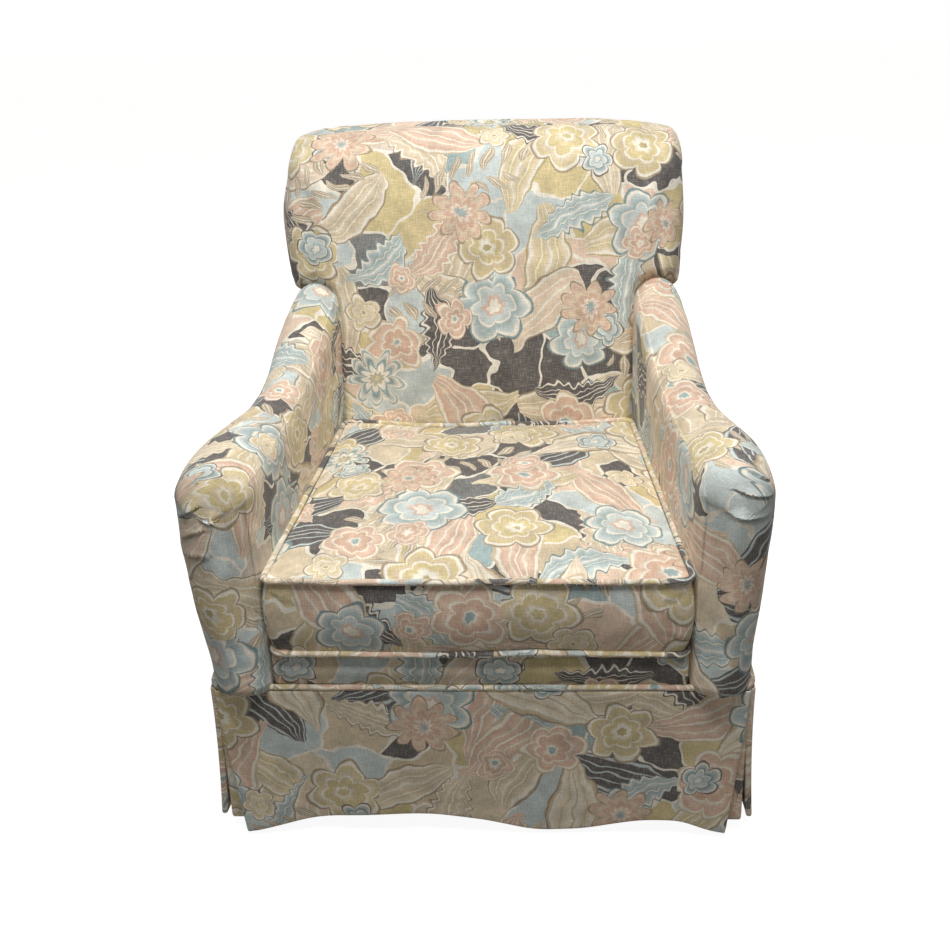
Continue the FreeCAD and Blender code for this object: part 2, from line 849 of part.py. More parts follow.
def arm_shell():
    """The arm's padding and cover with the frame's room taken out, cut off at the back panel."""
    nose = []
    for share in (0.0, 0.1, 0.3, 0.6, 1.0):
        depth = share * arm_nose_radius
        left = arm_nose_radius - depth
        inset = arm_nose_radius - math.sqrt(arm_nose_radius ** 2 - left ** 2)
        nose.append(arm_section(arm_front + depth, inset))
    body = [arm_section(y, 0.0) for y in arm_stations()]
    whole = Part.makeLoft(nose, True, False).fuse(Part.makeLoft(body, True, False)).removeSplitter()
    start = frame_front - 2 * fit_gap
    places = [start] + arm_stations()[1:]
    room = Part.makeLoft([arm_cavity_section(y) for y in places], True, True)
    behind = to_back(box(0, overall_width, shell_depth, 2 * shell_depth, -overall_width, overall_width))
    high = 2 * overall_width
    over = to_back(box(0, overall_width, -fit_gap, high, back_overhang_level - fit_gap, high))
    inner = arm_inner(front_y) + arm_pad_inner + 4 * fit_gap
    under_deck = box(0, inner, frame_front, 2 * rear_y, 0, rail_top + fit_gap)
    return whole.cut([room, behind, over, under_deck, back_post_at(fit_gap), back_lower_rail()])


def arm_panel_window():
    """The part of the arm's outside that its flat outer panel takes up."""
    inner = arm_inner(front_y) + arm_pad_inner + 4 * fit_gap
    return box(inner, overall_width, arm_front + arm_panel_front_margin, 2 * rear_y, 0, arm_panel_top)


# Back: a T-shaped pad in front of the frame, wrapping over its top, and a flat panel behind
def back_section(level, half, front, rear):
    """A slice across the upright back: crowned front, round corners, flat rear."""
    bend = 1 - math.sin(math.pi / 4)
    f, r = back_corner_radius, back_rear_radius

    def at(x, y):
        return Vector(x, y, level)

    return Part.Wire([
        arc(at(-half + f, front), at(0, front - back_crown), at(half - f, front)),
        arc(at(half - f, front), at(half - f * bend, front + f * bend), at(half, front + f)),
        line(at(half, front + f), at(half, rear - r)),
        arc(at(half, rear - r), at(half - r * bend, rear - r * bend), at(half - r, rear)),
        line(at(half - r, rear), at(-half + r, rear)),
        arc(at(-half + r, rear), at(-half + r * bend, rear - r * bend), at(-half, rear - r)),
        line(at(-half, rear - r), at(-half, front + f)),
        arc(at(-half, front + f), at(-half + f * bend, front + f * bend), at(-half + f, front)),
    ])


def back_upper():
    """The wide upper part: its sides bulge out from the overhang, and its top rolls over to the rear."""
    shoulder = back_height - back_roll_height
    sides = []
    for share in (0.0, 0.25, 0.5, 0.75, 1.0):
        level = back_overhang_level + share * (shoulder - back_overhang_level)
        narrower = back_wing_bulge * (1 - share) ** 3
        sides.append(back_section(level, upper_half - narrower, 0.0, shell_depth))
    roll = []
    for turn in (0, 30, 55, 75, 90):
        rise, fall = math.sin(math.radians(turn)), 1 - math.cos(math.radians(turn))
        level = shoulder + back_roll_height * rise
        half = upper_half - back_roll_side * fall
        roll.append(back_section(level, half, back_roll_front * fall, shell_depth))
    return Part.makeLoft(sides, True, False).fuse(Part.makeLoft(roll, True, False))


def back_pad():
    """The inside back: the padded T, with room behind it for springs, posts and rails."""
    lower = Part.makeLoft([
        back_section(level, upper_half - back_wing_bulge, 0.0, shell_depth)
        for level in (-back_thickness, back_overhang_level)
    ], True, True)
    slab = box(
        -lower_half, lower_half, -back_thickness, back_pad_thickness, -back_thickness, back_overhang_level,
    )
    room = box(
        -upper_half + back_side_wall, upper_half - back_side_wall, back_pad_thickness, 2 * back_thickness,
        -back_height, back_height - back_top_wall,
    )
    whole = to_back(back_upper().cut(room).fuse(lower.common(slab)).removeSplitter())
    return whole.cut(box(-half_width, half_width, front_y, 2 * rear_y, -back_height, cushion_bottom))


def outside_back():
    """The flat panel that closes the chair's back, from the skirt to the top."""
    inset = back_panel_inset
    foot = half_width - outer_taper - inset
    waist = arm_inner(rear_y) + arm_waist_width - inset
    wing = upper_half - back_wing_bulge - inset
    shoulder = upper_half - inset
    level, top = back_overhang_level, back_height - inset
    bend = 1 - math.sin(math.pi / 4)

    def at(side, x, z):
        return Vector(side * x, shell_depth, z)

    corner = shoulder - back_roll_side
    edges = [line(at(-1, foot, 0), at(1, foot, 0)), line(at(1, corner, top), at(-1, corner, top))]
    for side in (1, -1):
        edges += [
            line(at(side, foot, 0), at(side, waist, level)),
            line(at(side, waist, level), at(side, wing, level)),
            line(at(side, wing, level), at(side, shoulder, (level + top) / 2)),
            line(at(side, shoulder, (level + top) / 2), at(side, shoulder, top - back_roll_side)),
            arc(
                at(side, shoulder, top - back_roll_side),
                at(side, shoulder - back_roll_side * bend, top - back_roll_side * bend),
                at(side, corner, top),
            ),
        ]
    outline = Part.Wire(Part.__sortEdges__(edges))
    return to_back(Part.Face(outline).extrude(Vector(0, back_panel_thickness, 0)))


# Skirt: four panels with folded edges, a pleat behind each corner, and a welt along the top
def folded_panel(half, high):
    """A hanging panel across X with its outer face on Y = 0 and both edges folded back behind it."""
    t = skirt_cloth
    fold = t + skirt_fold_gap / 2
    depth = 2 * fold
    inner = skirt_fold_gap / 2

    def at(x, y):
        return Vector(x, y, 0)

    edges = []
    for side in (1, -1):
        s = side
        turn = half - fold
        outline = [
            arc(at(s * turn, 0), at(s * half, fold), at(s * turn, depth)),
            line(at(s * turn, depth), at(s * (half - skirt_return), depth)),
            line(at(s * (half - skirt_return), depth), at(s * (half - skirt_return), depth - t)),
            line(at(s * (half - skirt_return), depth - t), at(s * turn, depth - t)),
            arc(at(s * turn, depth - t), at(s * (turn + inner), fold), at(s * turn, t)),
        ]
        edges += outline
    turn = half - fold
    edges.append(line(at(turn, t), at(-turn, t)))
    edges.append(line(at(-turn, 0), at(turn, 0)))
    return Part.Face(Part.Wire(Part.__sortEdges__(edges))).extrude(Vector(0, 0, high))


def hem_cutter(half, shares):
    """What is cut away below a wavy hem, whose heights are spread evenly from one end to the other."""
    points = []
    for i, share in enumerate(shares):
        x = -half + 2 * half * i / (len(shares) - 1)
        points.append(Vector(x, -half_width, hem_clearance + share * hem_rise))
    wave = Part.BSplineCurve()
    wave.interpolate(points)
    low = Vector(0, 0, -hem_rise)
    edges = [
        wave.toShape(),
        line(points[-1], Vector(half, -half_width, 0) + low),
        line(Vector(half, -half_width, 0) + low, Vector(-half, -half_width, 0) + low),
        line(Vector(-half, -half_width, 0) + low, points[0]),
    ]
    return Part.Face(Part.Wire(edges)).extrude(Vector(0, overall_width, 0))


def skirt_panel(half, shares):
    panel = folded_panel(half, skirt_top)
    return panel.cut(hem_cutter(half + hem_margin, shares))


def skirt_front():
    panel = skirt_panel(half_width - skirt_corner_gap, front_hem)
    panel.translate(Vector(0, front_y, 0))
    return panel


def skirt_back():
    panel = skirt_panel(half_width - skirt_corner_gap, back_hem)
    panel.rotate(Vector(0, 0, 0), Vector(0, 0, 1), 180)
    panel.translate(Vector(0, rear_y, 0))
    return panel


def skirt_side():
    panel = skirt_panel(rear_y - skirt_corner_gap, side_hem)
    panel.rotate(Vector(0, 0, 0), Vector(0, 0, 1), 90)
    panel.translate(Vector(half_width, 0, 0))
    return panel


def kick_pleats():
    """An L-shaped strip of cloth behind each corner of the skirt."""
    step = 2 * (skirt_cloth + skirt_fold_gap / 2) + fit_gap / 2
    x, y = half_width - step, front_y + step
    t = skirt_cloth
    outline = [
        Vector(x, y, 0),
        Vector(x, y + pleat_leg, 0),
        Vector(x - t, y + pleat_leg, 0),
        Vector(x - t, y + t, 0),
        Vector(x - pleat_leg, y + t, 0),
        Vector(x - pleat_leg, y, 0),
    ]
    low = hem_clearance + pleat_lift
    height = skirt_top - batten_height - low
    strip = prism([p + Vector(0, 0, low) for p in outline], Vector(0, 0, height))
    return both_sides(group([strip, strip.mirror(Vector(0, 0, 0), Vector(0, 1, 0))]))


def skirt_welt():
    z = skirt_top + welt_diameter / 2 + fit_gap / 4
    radius = welt_diameter / 2
    half = half_width - radius
    return tube(rounded_outline(front_y + radius, rear_y - radius, half, half, welt_corner_radius, z), radius)


# Seat cushion: a boxed cover with a crown, welts on both edges, and a foam core
def cushion_front():
    return front_y - cushion_front_setback


def cushion_half(y):
    """Half the cushion's width on the seam, leaving room for the welt beside the arm."""
    return arm_inner(y) - cushion_gap_side - cushion_welt_reach


def cushion_outline(z, out_front, out_side, radius):
    """A level slice of the cushion, grown outwards; its rear leans and hollows with the back."""
    front = cushion_front()
    rear = back_front(z) - cushion_gap_rear - cushion_welt_reach
    return rounded_outline(
        front - out_front, rear + out_side, cushion_half(front) + out_side, cushion_half(rear) + out_side,
        radius, z, cushion_rear_hollow,
    )


def cushion_seams():
    bottom = cushion_bottom + cushion_foot
    return bottom, bottom + cushion_boxing


def cushion_body():
    low, high = cushion_seams()
    r = cushion_corner_radius
    boxing = []
    for share in (0.0, 0.25, 0.5, 0.75, 1.0):
        swell = math.sin(math.pi * share)
        boxing.append(cushion_outline(
            low + share * cushion_boxing, swell * cushion_front_bulge, swell * cushion_side_bulge, r,
        ))
    crown = []
    for share in (0.0, 0.2, 0.45, 0.75, 1.0):
        inset = share * cushion_crown_slope
        rise = cushion_crown * (1 - (1 - share) ** 2.5)
        crown.append(cushion_outline(high + rise, -inset, -inset, r))
    tuck = -2 * cushion_foot
    foot = [cushion_outline(low, 0.0, 0.0, r), cushion_outline(cushion_bottom, tuck, tuck, r)]
    body = Part.makeLoft(boxing, True, False)
    ends = [Part.makeLoft(crown, True, False), Part.makeLoft(foot, True, True)]
    return body.fuse(ends).removeSplitter()


def cushion_core():
    low, high = cushion_seams()
    inset = -cushion_cover
    r = cushion_corner_radius
    levels = [low + cushion_cover, high - cushion_cover / 2]
    return Part.makeLoft([cushion_outline(z, inset, inset, r) for z in levels], True, True)


def cushion_welts():
    half_out = cushion_welt_diameter / 4
    corner = cushion_corner_radius + half_out
    return group([
        tube(cushion_outline(z, half_out, half_out, corner), cushion_welt_diameter / 2)
        for z in cushion_seams()
    ])


def cushion_cover_solid():
    return cushion_body().cut(cushion_core()).cut(cushion_welts())


def make_parts():
    """Every node's name and shape."""
    parts = {
        "floor_ring": floor_ring(),
        "base_ring": base_ring(),
        "base_cross": base_cross(),
        "lower_race": lower_race(),
        "base_fasteners": group([base_bolts(), kingpin_nut()]),
        "kingpin": kingpin(),
        "bearing_balls": bearing_balls(),
        "ball_cage": ball_cage(),
        "upper_race": upper_race(),
        "swivel_plate": swivel_plate(),
        "carriage_bolts": group([swivel_bolts(), bracket_bolts()]),
        "glide_bracket_left": glide_bracket(),
        "glide_bracket_right": mirrored(glide_bracket()),
        "upper_pivot_pins": both_sides(pins_at(upper_pivot_height, upper_pin)),
        "glide_bumpers": glide_bumpers(),
        "carrier_left": carrier(),
        "carrier_right": mirrored(carrier()),
        "carrier_bolts": carrier_bolts(),
        "lower_pivot_pins": both_sides(pins_at(lower_pivot_height, lower_pin)),
        "front_rail": front_rail(),
        "rear_rail": rear_rail(),
        "side_rail_left": side_rail(),
        "side_rail_right": mirrored(side_rail()),
        "mechanism_rails": group([mechanism_rail(-1), mechanism_rail(1)]),
        "frame_blocks": group([corner_blocks(), both_sides(post_block())]),
        "back_post_left": back_post(),
        "back_post_right": mirrored(back_post()),
        "back_top_rail": back_top_rail(),
        "back_lower_rail": back_lower_rail(),
        "arm_frame_left": group([arm_post(), arm_rail()]),
        "arm_frame_right": mirrored(group([arm_post(), arm_rail()])),
        "skirt_battens": skirt_battens(),
        "seat_springs": seat_springs(),
        "spring_clips": spring_clips(),
        "back_springs": back_springs(),
        "back_burlap": back_burlap(),
        "seat_deck": seat_deck(),
        "front_border": front_border(),
        "dust_cover": dust_cover(),
        "inside_back": back_pad(),
        "outside_back": outside_back(),
        "skirt_front": skirt_front(),
        "skirt_back": skirt_back(),
        "skirt_left": skirt_side(),
        "skirt_right": mirrored(skirt_side()),
        "kick_pleats": kick_pleats(),
        "skirt_welt": skirt_welt(),
        "cushion_cover": cushion_cover_solid(),
        "cushion_core": cushion_core(),
        "cushion_welts": cushion_welts(),
    }
    for name, y in (("front", -link_spacing / 2), ("rear", link_spacing / 2)):
        parts[f"{name}_links"] = both_sides(swing_link(y))
        parts[f"{name}_link_bushes"] = both_sides(link_bushes(y))
    shell = arm_shell()
    window = arm_panel_window()
    parts["arm_left"] = shell.cut(window)
    parts["arm_right"] = mirrored(parts["arm_left"])
    parts["arm_panel_left"] = shell.common(window)
    parts["arm_panel_right"] = mirrored(parts["arm_panel_left"])
    return parts


def main():
    os.makedirs("parts", exist_ok=True)
    for name, shape in make_parts().items():
        shape.exportStep(f"parts/{name}.step")
        print(name, len(shape.Solids), round(shape.Volume / 1000, 1), "valid" if shape.isValid() else "NOT VALID")


if __name__ == "__main__":
    main()
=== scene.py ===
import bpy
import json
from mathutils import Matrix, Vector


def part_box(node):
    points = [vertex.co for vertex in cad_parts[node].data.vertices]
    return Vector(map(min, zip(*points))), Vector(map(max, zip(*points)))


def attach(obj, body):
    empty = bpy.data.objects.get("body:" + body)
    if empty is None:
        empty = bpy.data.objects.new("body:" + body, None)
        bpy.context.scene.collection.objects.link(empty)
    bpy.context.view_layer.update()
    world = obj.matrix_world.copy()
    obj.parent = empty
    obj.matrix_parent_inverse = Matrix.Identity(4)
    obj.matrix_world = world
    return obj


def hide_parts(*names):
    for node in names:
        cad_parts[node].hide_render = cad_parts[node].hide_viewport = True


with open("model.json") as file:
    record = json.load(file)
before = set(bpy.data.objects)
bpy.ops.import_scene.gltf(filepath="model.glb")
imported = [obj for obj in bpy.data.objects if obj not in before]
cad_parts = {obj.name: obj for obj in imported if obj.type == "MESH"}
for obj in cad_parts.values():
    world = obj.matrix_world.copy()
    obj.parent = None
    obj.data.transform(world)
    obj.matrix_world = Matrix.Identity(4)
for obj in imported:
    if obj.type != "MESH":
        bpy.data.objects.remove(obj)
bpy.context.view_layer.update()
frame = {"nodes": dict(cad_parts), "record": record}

import json
import math

import bmesh
import bpy
import numpy as np
from bpy.props import FloatProperty, FloatVectorProperty, PointerProperty
from mathutils import Matrix, Vector, noise

bl_info = {
    "name": "Swivel Glider Upholstery",
    "version": (1, 0, 0),
    "blender": (4, 5, 0),
    "location": "View3D > Sidebar > Glider",
    "description": "Dresses a swivel glider with padded, printed upholstery and finishes its metal and wood",
    "category": "Object",
}

# Places that the soft pieces share with the chair's solids, in metres
SKIRT_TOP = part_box("skirt_welt")[0].z
BODY_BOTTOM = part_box("arm_left")[0].z
ARM_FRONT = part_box("arm_left")[0].y
ARM_FOOT, ARM_NOSE, ARM_WIDTH = 0.390, 0.400, 0.072
SEAM_LOW, SEAM_HIGH = 0.3505, 0.4745
SEAT_FRONT, SEAT_HALF_FRONT, SEAT_DRAW_IN, SEAT_DRAW_END = -0.348, 0.304, 0.046, 0.209
BACK_FOOT, BACK_DEPTH, BACK_RAKE = 0.338, 0.185, math.radians(13.5)
BACK_LOWER_HALF, BACK_OVERHANG, BACK_SHOULDER = 0.254, 0.375, 0.564
BACK_REAR, BACK_REAR_EDGE, BACK_CORNER = 0.179, 0.016, 0.045
BACK_HALF, BACK_LEAN, SHOULDER_HALF = 0.352, 0.008, 0.344
TOP_RISE, TOP_ROLL, TOP_SET_BACK, TOP_CREST = 0.066, 0.019, 0.062, 0.008
CUSHION_FRONT, CUSHION_DEPTH, SEAM_SLOPE = -0.350, 0.525, 0.018
RAKE_SIN, RAKE_COS, RAKE_TAN = math.sin(BACK_RAKE), math.cos(BACK_RAKE), math.tan(BACK_RAKE)


def linear(colour):
    """A hex colour as the linear red, green, blue and alpha that shaders use."""
    channels = [int(colour[i:i + 2], 16) / 255 for i in (1, 3, 5)]
    return tuple(c / 12.92 if c <= 0.04045 else ((c + 0.055) / 1.055) ** 2.4 for c in channels) + (1.0,)


def colour_choice(name, description, colour):
    return FloatVectorProperty(
        name=name, description=description, subtype="COLOR", size=4, min=0.0, max=1.0, default=linear(colour),
    )


def size_choice(name, description, default, least=0.0, unit="LENGTH"):
    return FloatProperty(name=name, description=description, default=default, min=least, unit=unit)


class PrintColours(bpy.types.PropertyGroup):
    """Inks of the floral print"""
    cream: colour_choice("Cream", "Outlines and bare ground", "#F6EEDD")
    sand: colour_choice("Sand", "Pale petals and leaflets", "#E9D9BE")
    tan: colour_choice("Tan", "Leaves and petals", "#D8C5A4")
    bark: colour_choice("Bark", "Dark edge of tan motifs", "#AE9B80")
    gold: colour_choice("Gold", "Blossom hearts and leaves", "#DCCA98")
    olive: colour_choice("Olive", "Dark edge of gold motifs", "#C3B184")
    blush: colour_choice("Blush", "Pink petals", "#EAD0B8")
    rose: colour_choice("Rose", "Inner pink petals", "#DFBBA2")
    sky: colour_choice("Sky", "Pale blue ground", "#D2DAD6")
    blue: colour_choice("Blue", "Blue petals", "#A9BBB9")
    teal: colour_choice("Teal", "Dark edge of blue motifs", "#849A9B")
    charcoal: colour_choice("Charcoal", "Dark ground and leaves", "#6A6562")


class ClothSizes(bpy.types.PropertyGroup):
    """Sizes of the print and of the soft forms"""
    blossom: size_choice("Blossom", "Radius of the large blossoms", 0.064, 0.01)
    leaf: size_choice("Leaf", "Length of the large leaves", 0.20, 0.02)
    patch: size_choice("Ground patch", "Width of the ground's patches", 0.09, 0.02)
    thread: size_choice("Thread", "Spacing of the linen's threads", 0.0022, 0.0005)
    welt: size_choice("Welt", "Radius of the cushion's welts", 0.0050, 0.002)
    pleat: size_choice("Pleat", "Depth of the pleats on the arms", 0.0050)
    ripple: size_choice("Ripple", "Height of the cloth's slow waves", 0.0016)
    fill: size_choice("Fill", "Air pressure that swells the pads", 4.0, unit="NONE")


class StageChoices(bpy.types.PropertyGroup):
    """Camera and light"""
    lens: size_choice("Lens", "Focal length on a 36 mm film", 45.03, 10.0, "CAMERA")
    key: size_choice("Key light", "Power of the large light overhead", 46.5, unit="POWER")
    front: size_choice("Front light", "Power of the light behind the camera", 1.0, unit="POWER")
    rear: size_choice("Rear lights", "Power of each light behind the chair", 15.0, unit="POWER")
    sky: size_choice("Room light", "Strength of the light from all round", 0.17, unit="NONE")
    paper: colour_choice("Paper", "Colour of the floor", "#8C8A86")


# Shapes: grids of points that are sewn together
def ease(share):
    """A smooth step from 0 to 1."""
    t = np.clip(share, 0.0, 1.0)
    return t * t * (3 - 2 * t)


def blend(a, b, share):
    return a + (b - a) * share


def stacked(*parts):
    """Places from their x, y and z, or spots on the cloth from both their measures, spread to one shape."""
    return np.stack(np.broadcast_arrays(*parts), -1)


def path_length(points):
    """How far along a row of points each one is."""
    steps = np.linalg.norm(np.diff(points, axis=0), axis=1)
    return np.concatenate([[0.0], np.cumsum(steps)])


def mirrored(patches):
    """The same grids on the other side of the chair."""
    return [(points * np.array([-1.0, 1.0, 1.0]), cloth) for points, cloth in patches]


def sew(name, patches):
    """One mesh from grids of points, each with its own place on the cloth. Edges that meet are joined."""
    points, faces, cloth = [], [], []
    start = 0
    for places, spots in patches:
        rows, columns = places.shape[:2]
        index = np.arange(rows * columns).reshape(rows, columns)
        quads = stacked(index[:-1, :-1], index[:-1, 1:], index[1:, 1:], index[1:, :-1]).reshape(-1, 4)
        points.append(places.reshape(-1, 3))
        cloth.append(spots.reshape(-1, 2)[quads].reshape(-1, 2))
        faces.append(quads + start)
        start += rows * columns
    mesh = bpy.data.meshes.new(name)
    mesh.from_pydata(np.concatenate(points).tolist(), [], np.concatenate(faces).tolist())
    layer = mesh.uv_layers.new(name="Cloth")
    layer.data.foreach_set("uv", np.concatenate(cloth).astype(np.float32).ravel())
    piece = bpy.data.objects.new(name, mesh)
    bpy.context.scene.collection.objects.link(piece)
    tidy(piece)
    return piece


def tidy(piece, close=False):
    """Joins what meets, turns the faces outwards and, if asked, closes what is open."""
    shape = bmesh.new()
    shape.from_mesh(piece.data)
    bmesh.ops.remove_doubles(shape, verts=shape.verts, dist=2e-5)
    bmesh.ops.dissolve_degenerate(shape, dist=1e-6, edges=shape.edges)
    if close:
        rim = [edge for edge in shape.edges if edge.is_boundary]
        filled = bmesh.ops.holes_fill(shape, edges=rim, sides=0)["faces"]
        bmesh.ops.triangulate(shape, faces=filled)
    bmesh.ops.recalc_face_normals(shape, faces=shape.faces)
    middle = sum((v.co for v in shape.verts), Vector()) / len(shape.verts)
    outward = sum((f.calc_center_median() - middle).dot(f.normal) * f.calc_area() for f in shape.faces)
    if outward < 0:
        bmesh.ops.reverse_faces(shape, faces=shape.faces)
    for face in shape.faces:
        face.smooth = True
    shape.to_mesh(piece.data)
    shape.free()


def places_of(piece):
    flat = np.zeros(len(piece.data.vertices) * 3)
    piece.data.vertices.foreach_get("co", flat)
    return flat.reshape(-1, 3)


def normals_of(piece):
    flat = np.zeros(len(piece.data.vertices) * 3)
    piece.data.vertex_normals.foreach_get("vector", flat)
    return flat.reshape(-1, 3)


def move_to(piece, places):
    piece.data.vertices.foreach_set("co", places.ravel())
    piece.data.update()


def apply_modifier(piece, kind, **settings):
    """Adds a modifier to a piece and applies it."""
    bpy.ops.object.select_all(action="DESELECT")
    bpy.context.view_layer.objects.active = piece
    piece.select_set(True)
    modifier = piece.modifiers.new(kind.title(), kind)
    for setting, value in settings.items():
        setattr(modifier, setting, value)
    bpy.ops.object.modifier_apply(modifier=modifier.name)
    piece.select_set(False)


def subdivide(piece):
    apply_modifier(piece, "SUBSURF", levels=1, render_levels=1, boundary_smooth="PRESERVE_CORNERS")


FILL_FRAMES = 16
FILL_CLOTH = {
    "quality": 4,
    "mass": 0.3,
    "tension_stiffness": 30.0,
    "compression_stiffness": 30.0,
    "shear_stiffness": 15.0,
    "bending_stiffness": 1.5,
    "use_pressure": True,
}


def puff(piece, held, most, pressure):
    """Fills a padded piece: cloth under air pressure, held on its seams, that moves by no more than most."""
    rest = places_of(piece)
    seams = piece.vertex_groups.new(name="seams")
    seams.add(np.flatnonzero(held).tolist(), 1.0, "REPLACE")
    cloth = piece.modifiers.new("Fill", "CLOTH")
    for setting, value in FILL_CLOTH.items():
        setattr(cloth.settings, setting, value)
    cloth.settings.uniform_pressure_force = pressure
    cloth.settings.vertex_group_mass = seams.name
    cloth.settings.effector_weights.gravity = 0.0
    cloth.point_cache.frame_start = 1
    cloth.point_cache.frame_end = FILL_FRAMES
    scene = bpy.context.scene
    for number in range(1, FILL_FRAMES + 1):
        scene.frame_set(number)
    shaped = piece.evaluated_get(bpy.context.evaluated_depsgraph_get())
    moved = places_of(shaped) - rest
    piece.modifiers.remove(cloth)
    piece.vertex_groups.remove(seams)
    scene.frame_set(1)
    length = np.maximum(np.linalg.norm(moved, axis=1), 1e-9)
    reach = np.maximum(most, 1e-6)
    move_to(piece, rest + moved * (reach * np.tanh(length / reach) / length)[:, None])


def ripple(piece, height, span, seed, share=1.0):
    """Slow waves in the cloth, along its own normals."""
    places = places_of(piece)
    drift = Vector((seed * 3.7, seed * 1.9, seed * 2.3))
    waves = np.array([noise.fractal(Vector(p) / span + drift, 1.0, 2.0, 2) for p in places])
    move_to(piece, places + normals_of(piece) * (waves * height * share)[:, None])


def wander(points, span, seed=0.0):
    """A slow drift of each point in three directions, the same in every run."""
    shifts = (0.0, 17.3, 41.9)
    return np.array([
        [noise.noise(Vector(p) / span + Vector((seed, shift, 0.0))) for shift in shifts] for p in points])


def fold(piece, line, depth, width, up):
    """A pleat along a line on a piece: the cloth stands proud on its upper side and is tucked in under it."""
    places, normals, up = places_of(piece), normals_of(piece), np.asarray(up)
    best = np.full(len(places), 1e9)
    side = np.zeros(len(places))
    along = np.zeros(len(places))
    # The line is laid onto the nearest points of the cloth first
    corners = np.linspace(0, 1, len(line))
    line = stacked(*(np.interp(np.linspace(0, 1, 12), corners, part) for part in np.asarray(line).T))
    line = np.array([places[np.argmin(((places - p) ** 2).sum(1))] for p in line])
    line[1:-1] = (line[:-2] + 2 * line[1:-1] + line[2:]) / 4
    line = line[np.concatenate([[True], np.linalg.norm(np.diff(line, axis=0), axis=1) > 1e-4])]
    count = len(line) - 1
    for i in range(count):
        a, b = line[i], line[i + 1]
        share = np.clip((places - a) @ (b - a) / ((b - a) @ (b - a)), 0.0, 1.0)
        off = places - (a + share[:, None] * (b - a))
        far = np.linalg.norm(off, axis=1)
        near = far < best
        best[near] = far[near]
        side[near] = (off @ up)[near]
        along[near] = ((i + share) / count)[near]
    across = best / width
    proud = np.where(side > 0, 0.75 * np.exp(-across / 1.3), -np.exp(-(across / 0.55) ** 2))
    strength = depth * np.sin(np.pi * np.clip(along, 0.02, 0.98)) ** 0.5 * (across < 5)
    down = normals * (normals @ up)[:, None] - up
    lip = np.where(side > 0, 0.35 * np.exp(-across), 0.0)
    move_to(piece, places + normals * (proud * strength)[:, None] + down * (lip * strength)[:, None])


def cord_tube(name, line, radius, cloth_at):
    """A closed welt of round section along a ring of points."""
    ahead, behind = np.roll(line, -1, axis=0), np.roll(line, 1, axis=0)
    along = ahead - behind
    along /= np.linalg.norm(along, axis=1)[:, None]
    out = np.cross(along, [0.0, 0.0, 1.0])
    out /= np.linalg.norm(out, axis=1)[:, None]
    up = np.cross(out, along)
    turns = np.linspace(0, 2 * math.pi, 11)
    ring = line[:, None] + radius * (
        np.cos(turns)[None, :, None] * out[:, None] + np.sin(turns)[None, :, None] * up[:, None]
    )
    ring = np.concatenate([ring, ring[:1]])
    length = path_length(np.concatenate([line, line[:1]]))
    spots = stacked(length[:, None], turns[None] * radius) + np.array(cloth_at)
    return sew(name, [(ring, spots)])


def behind_welt(piece):
    """Lets a piece's lower edge go on behind the skirt's welt, so that no gap shows above it."""
    places = places_of(piece)
    drop, over = 0.005, 0.008
    places[:, 2] -= drop * (1 - ease((places[:, 2] - BODY_BOTTOM) / over))
    move_to(piece, places)


def dress(piece, body, slot, material, *nodes):
    """Hangs a finished piece on its body, in its cloth, in place of the solids that it stands for."""
    piece.data.materials.clear()
    piece.data.materials.append(material)
    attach(piece, body)
    if nodes:
        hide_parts(*nodes)
    return piece


# Finishes
def add(tree, kind, inputs=None, out=0, stops=None, **settings):
    """Adds one node with its settings and its links or values. Gives the output asked for, or all of them."""
    node = tree.nodes.new(kind if kind.startswith("NodeGroup") else "ShaderNode" + kind)
    for setting, value in settings.items():
        setattr(node, setting, value)
    if stops:
        marks = node.color_ramp.elements
        while len(marks) < len(stops):
            marks.new(0.5)
        for mark, (position, colour) in zip(marks, stops):
            mark.position = position
            mark.color = colour or tuple(stops[-2][1])[:3] + (0.0,)
    for socket, value in (inputs or {}).items():
        if isinstance(value, bpy.types.NodeSocket):
            tree.links.new(value, node.inputs[socket])
        else:
            node.inputs[socket].default_value = value
    return node.outputs if out is None else node.outputs[out]


def new_finish(name, **constants):
    """A material with one shader, its constants set on the shader's own sockets."""
    material = bpy.data.materials.new(name)
    material.use_nodes = True
    tree = material.node_tree
    shader = tree.nodes["Principled BSDF"]
    for socket, value in constants.items():
        shader.inputs[socket.replace("_", " ").title().replace("Ior", "IOR")].default_value = value
    return material, tree, shader.inputs


def new_motif(name, sizes, results):
    """A node group for one motif: its sizes go in, and how far out a spot on the cloth lies comes out."""
    motif = bpy.data.node_groups.new(name, "ShaderNodeTree")
    motif.interface.new_socket("Cloth", in_out="INPUT", socket_type="NodeSocketVector")
    for size in sizes:
        motif.interface.new_socket(size, in_out="INPUT", socket_type="NodeSocketFloat")
    for result in results:
        motif.interface.new_socket(result, in_out="OUTPUT", socket_type="NodeSocketFloat")
    return motif, add(motif, "NodeGroupInput", out=None)


def scattered(motif, given, loose):
    """Where a motif's nearest centre lies, as an offset from it, and three random numbers of that motif."""
    per_metre = add(motif, "Math", {0: 1.0, 1: given["Spacing"]}, operation="DIVIDE")
    cell = add(motif, "TexVoronoi", {"Vector": given["Cloth"], "Scale": per_metre, "Randomness": loose},
               out=None, voronoi_dimensions="2D")
    off = add(motif, "VectorMath", {0: given["Cloth"], 1: cell["Position"]}, operation="SUBTRACT")
    chance = add(motif, "SeparateColor", {0: cell["Color"]}, out=None)
    turn = add(motif, "Math", {0: chance[0], 1: 2 * math.pi}, operation="MULTIPLY")
    return off, turn, chance


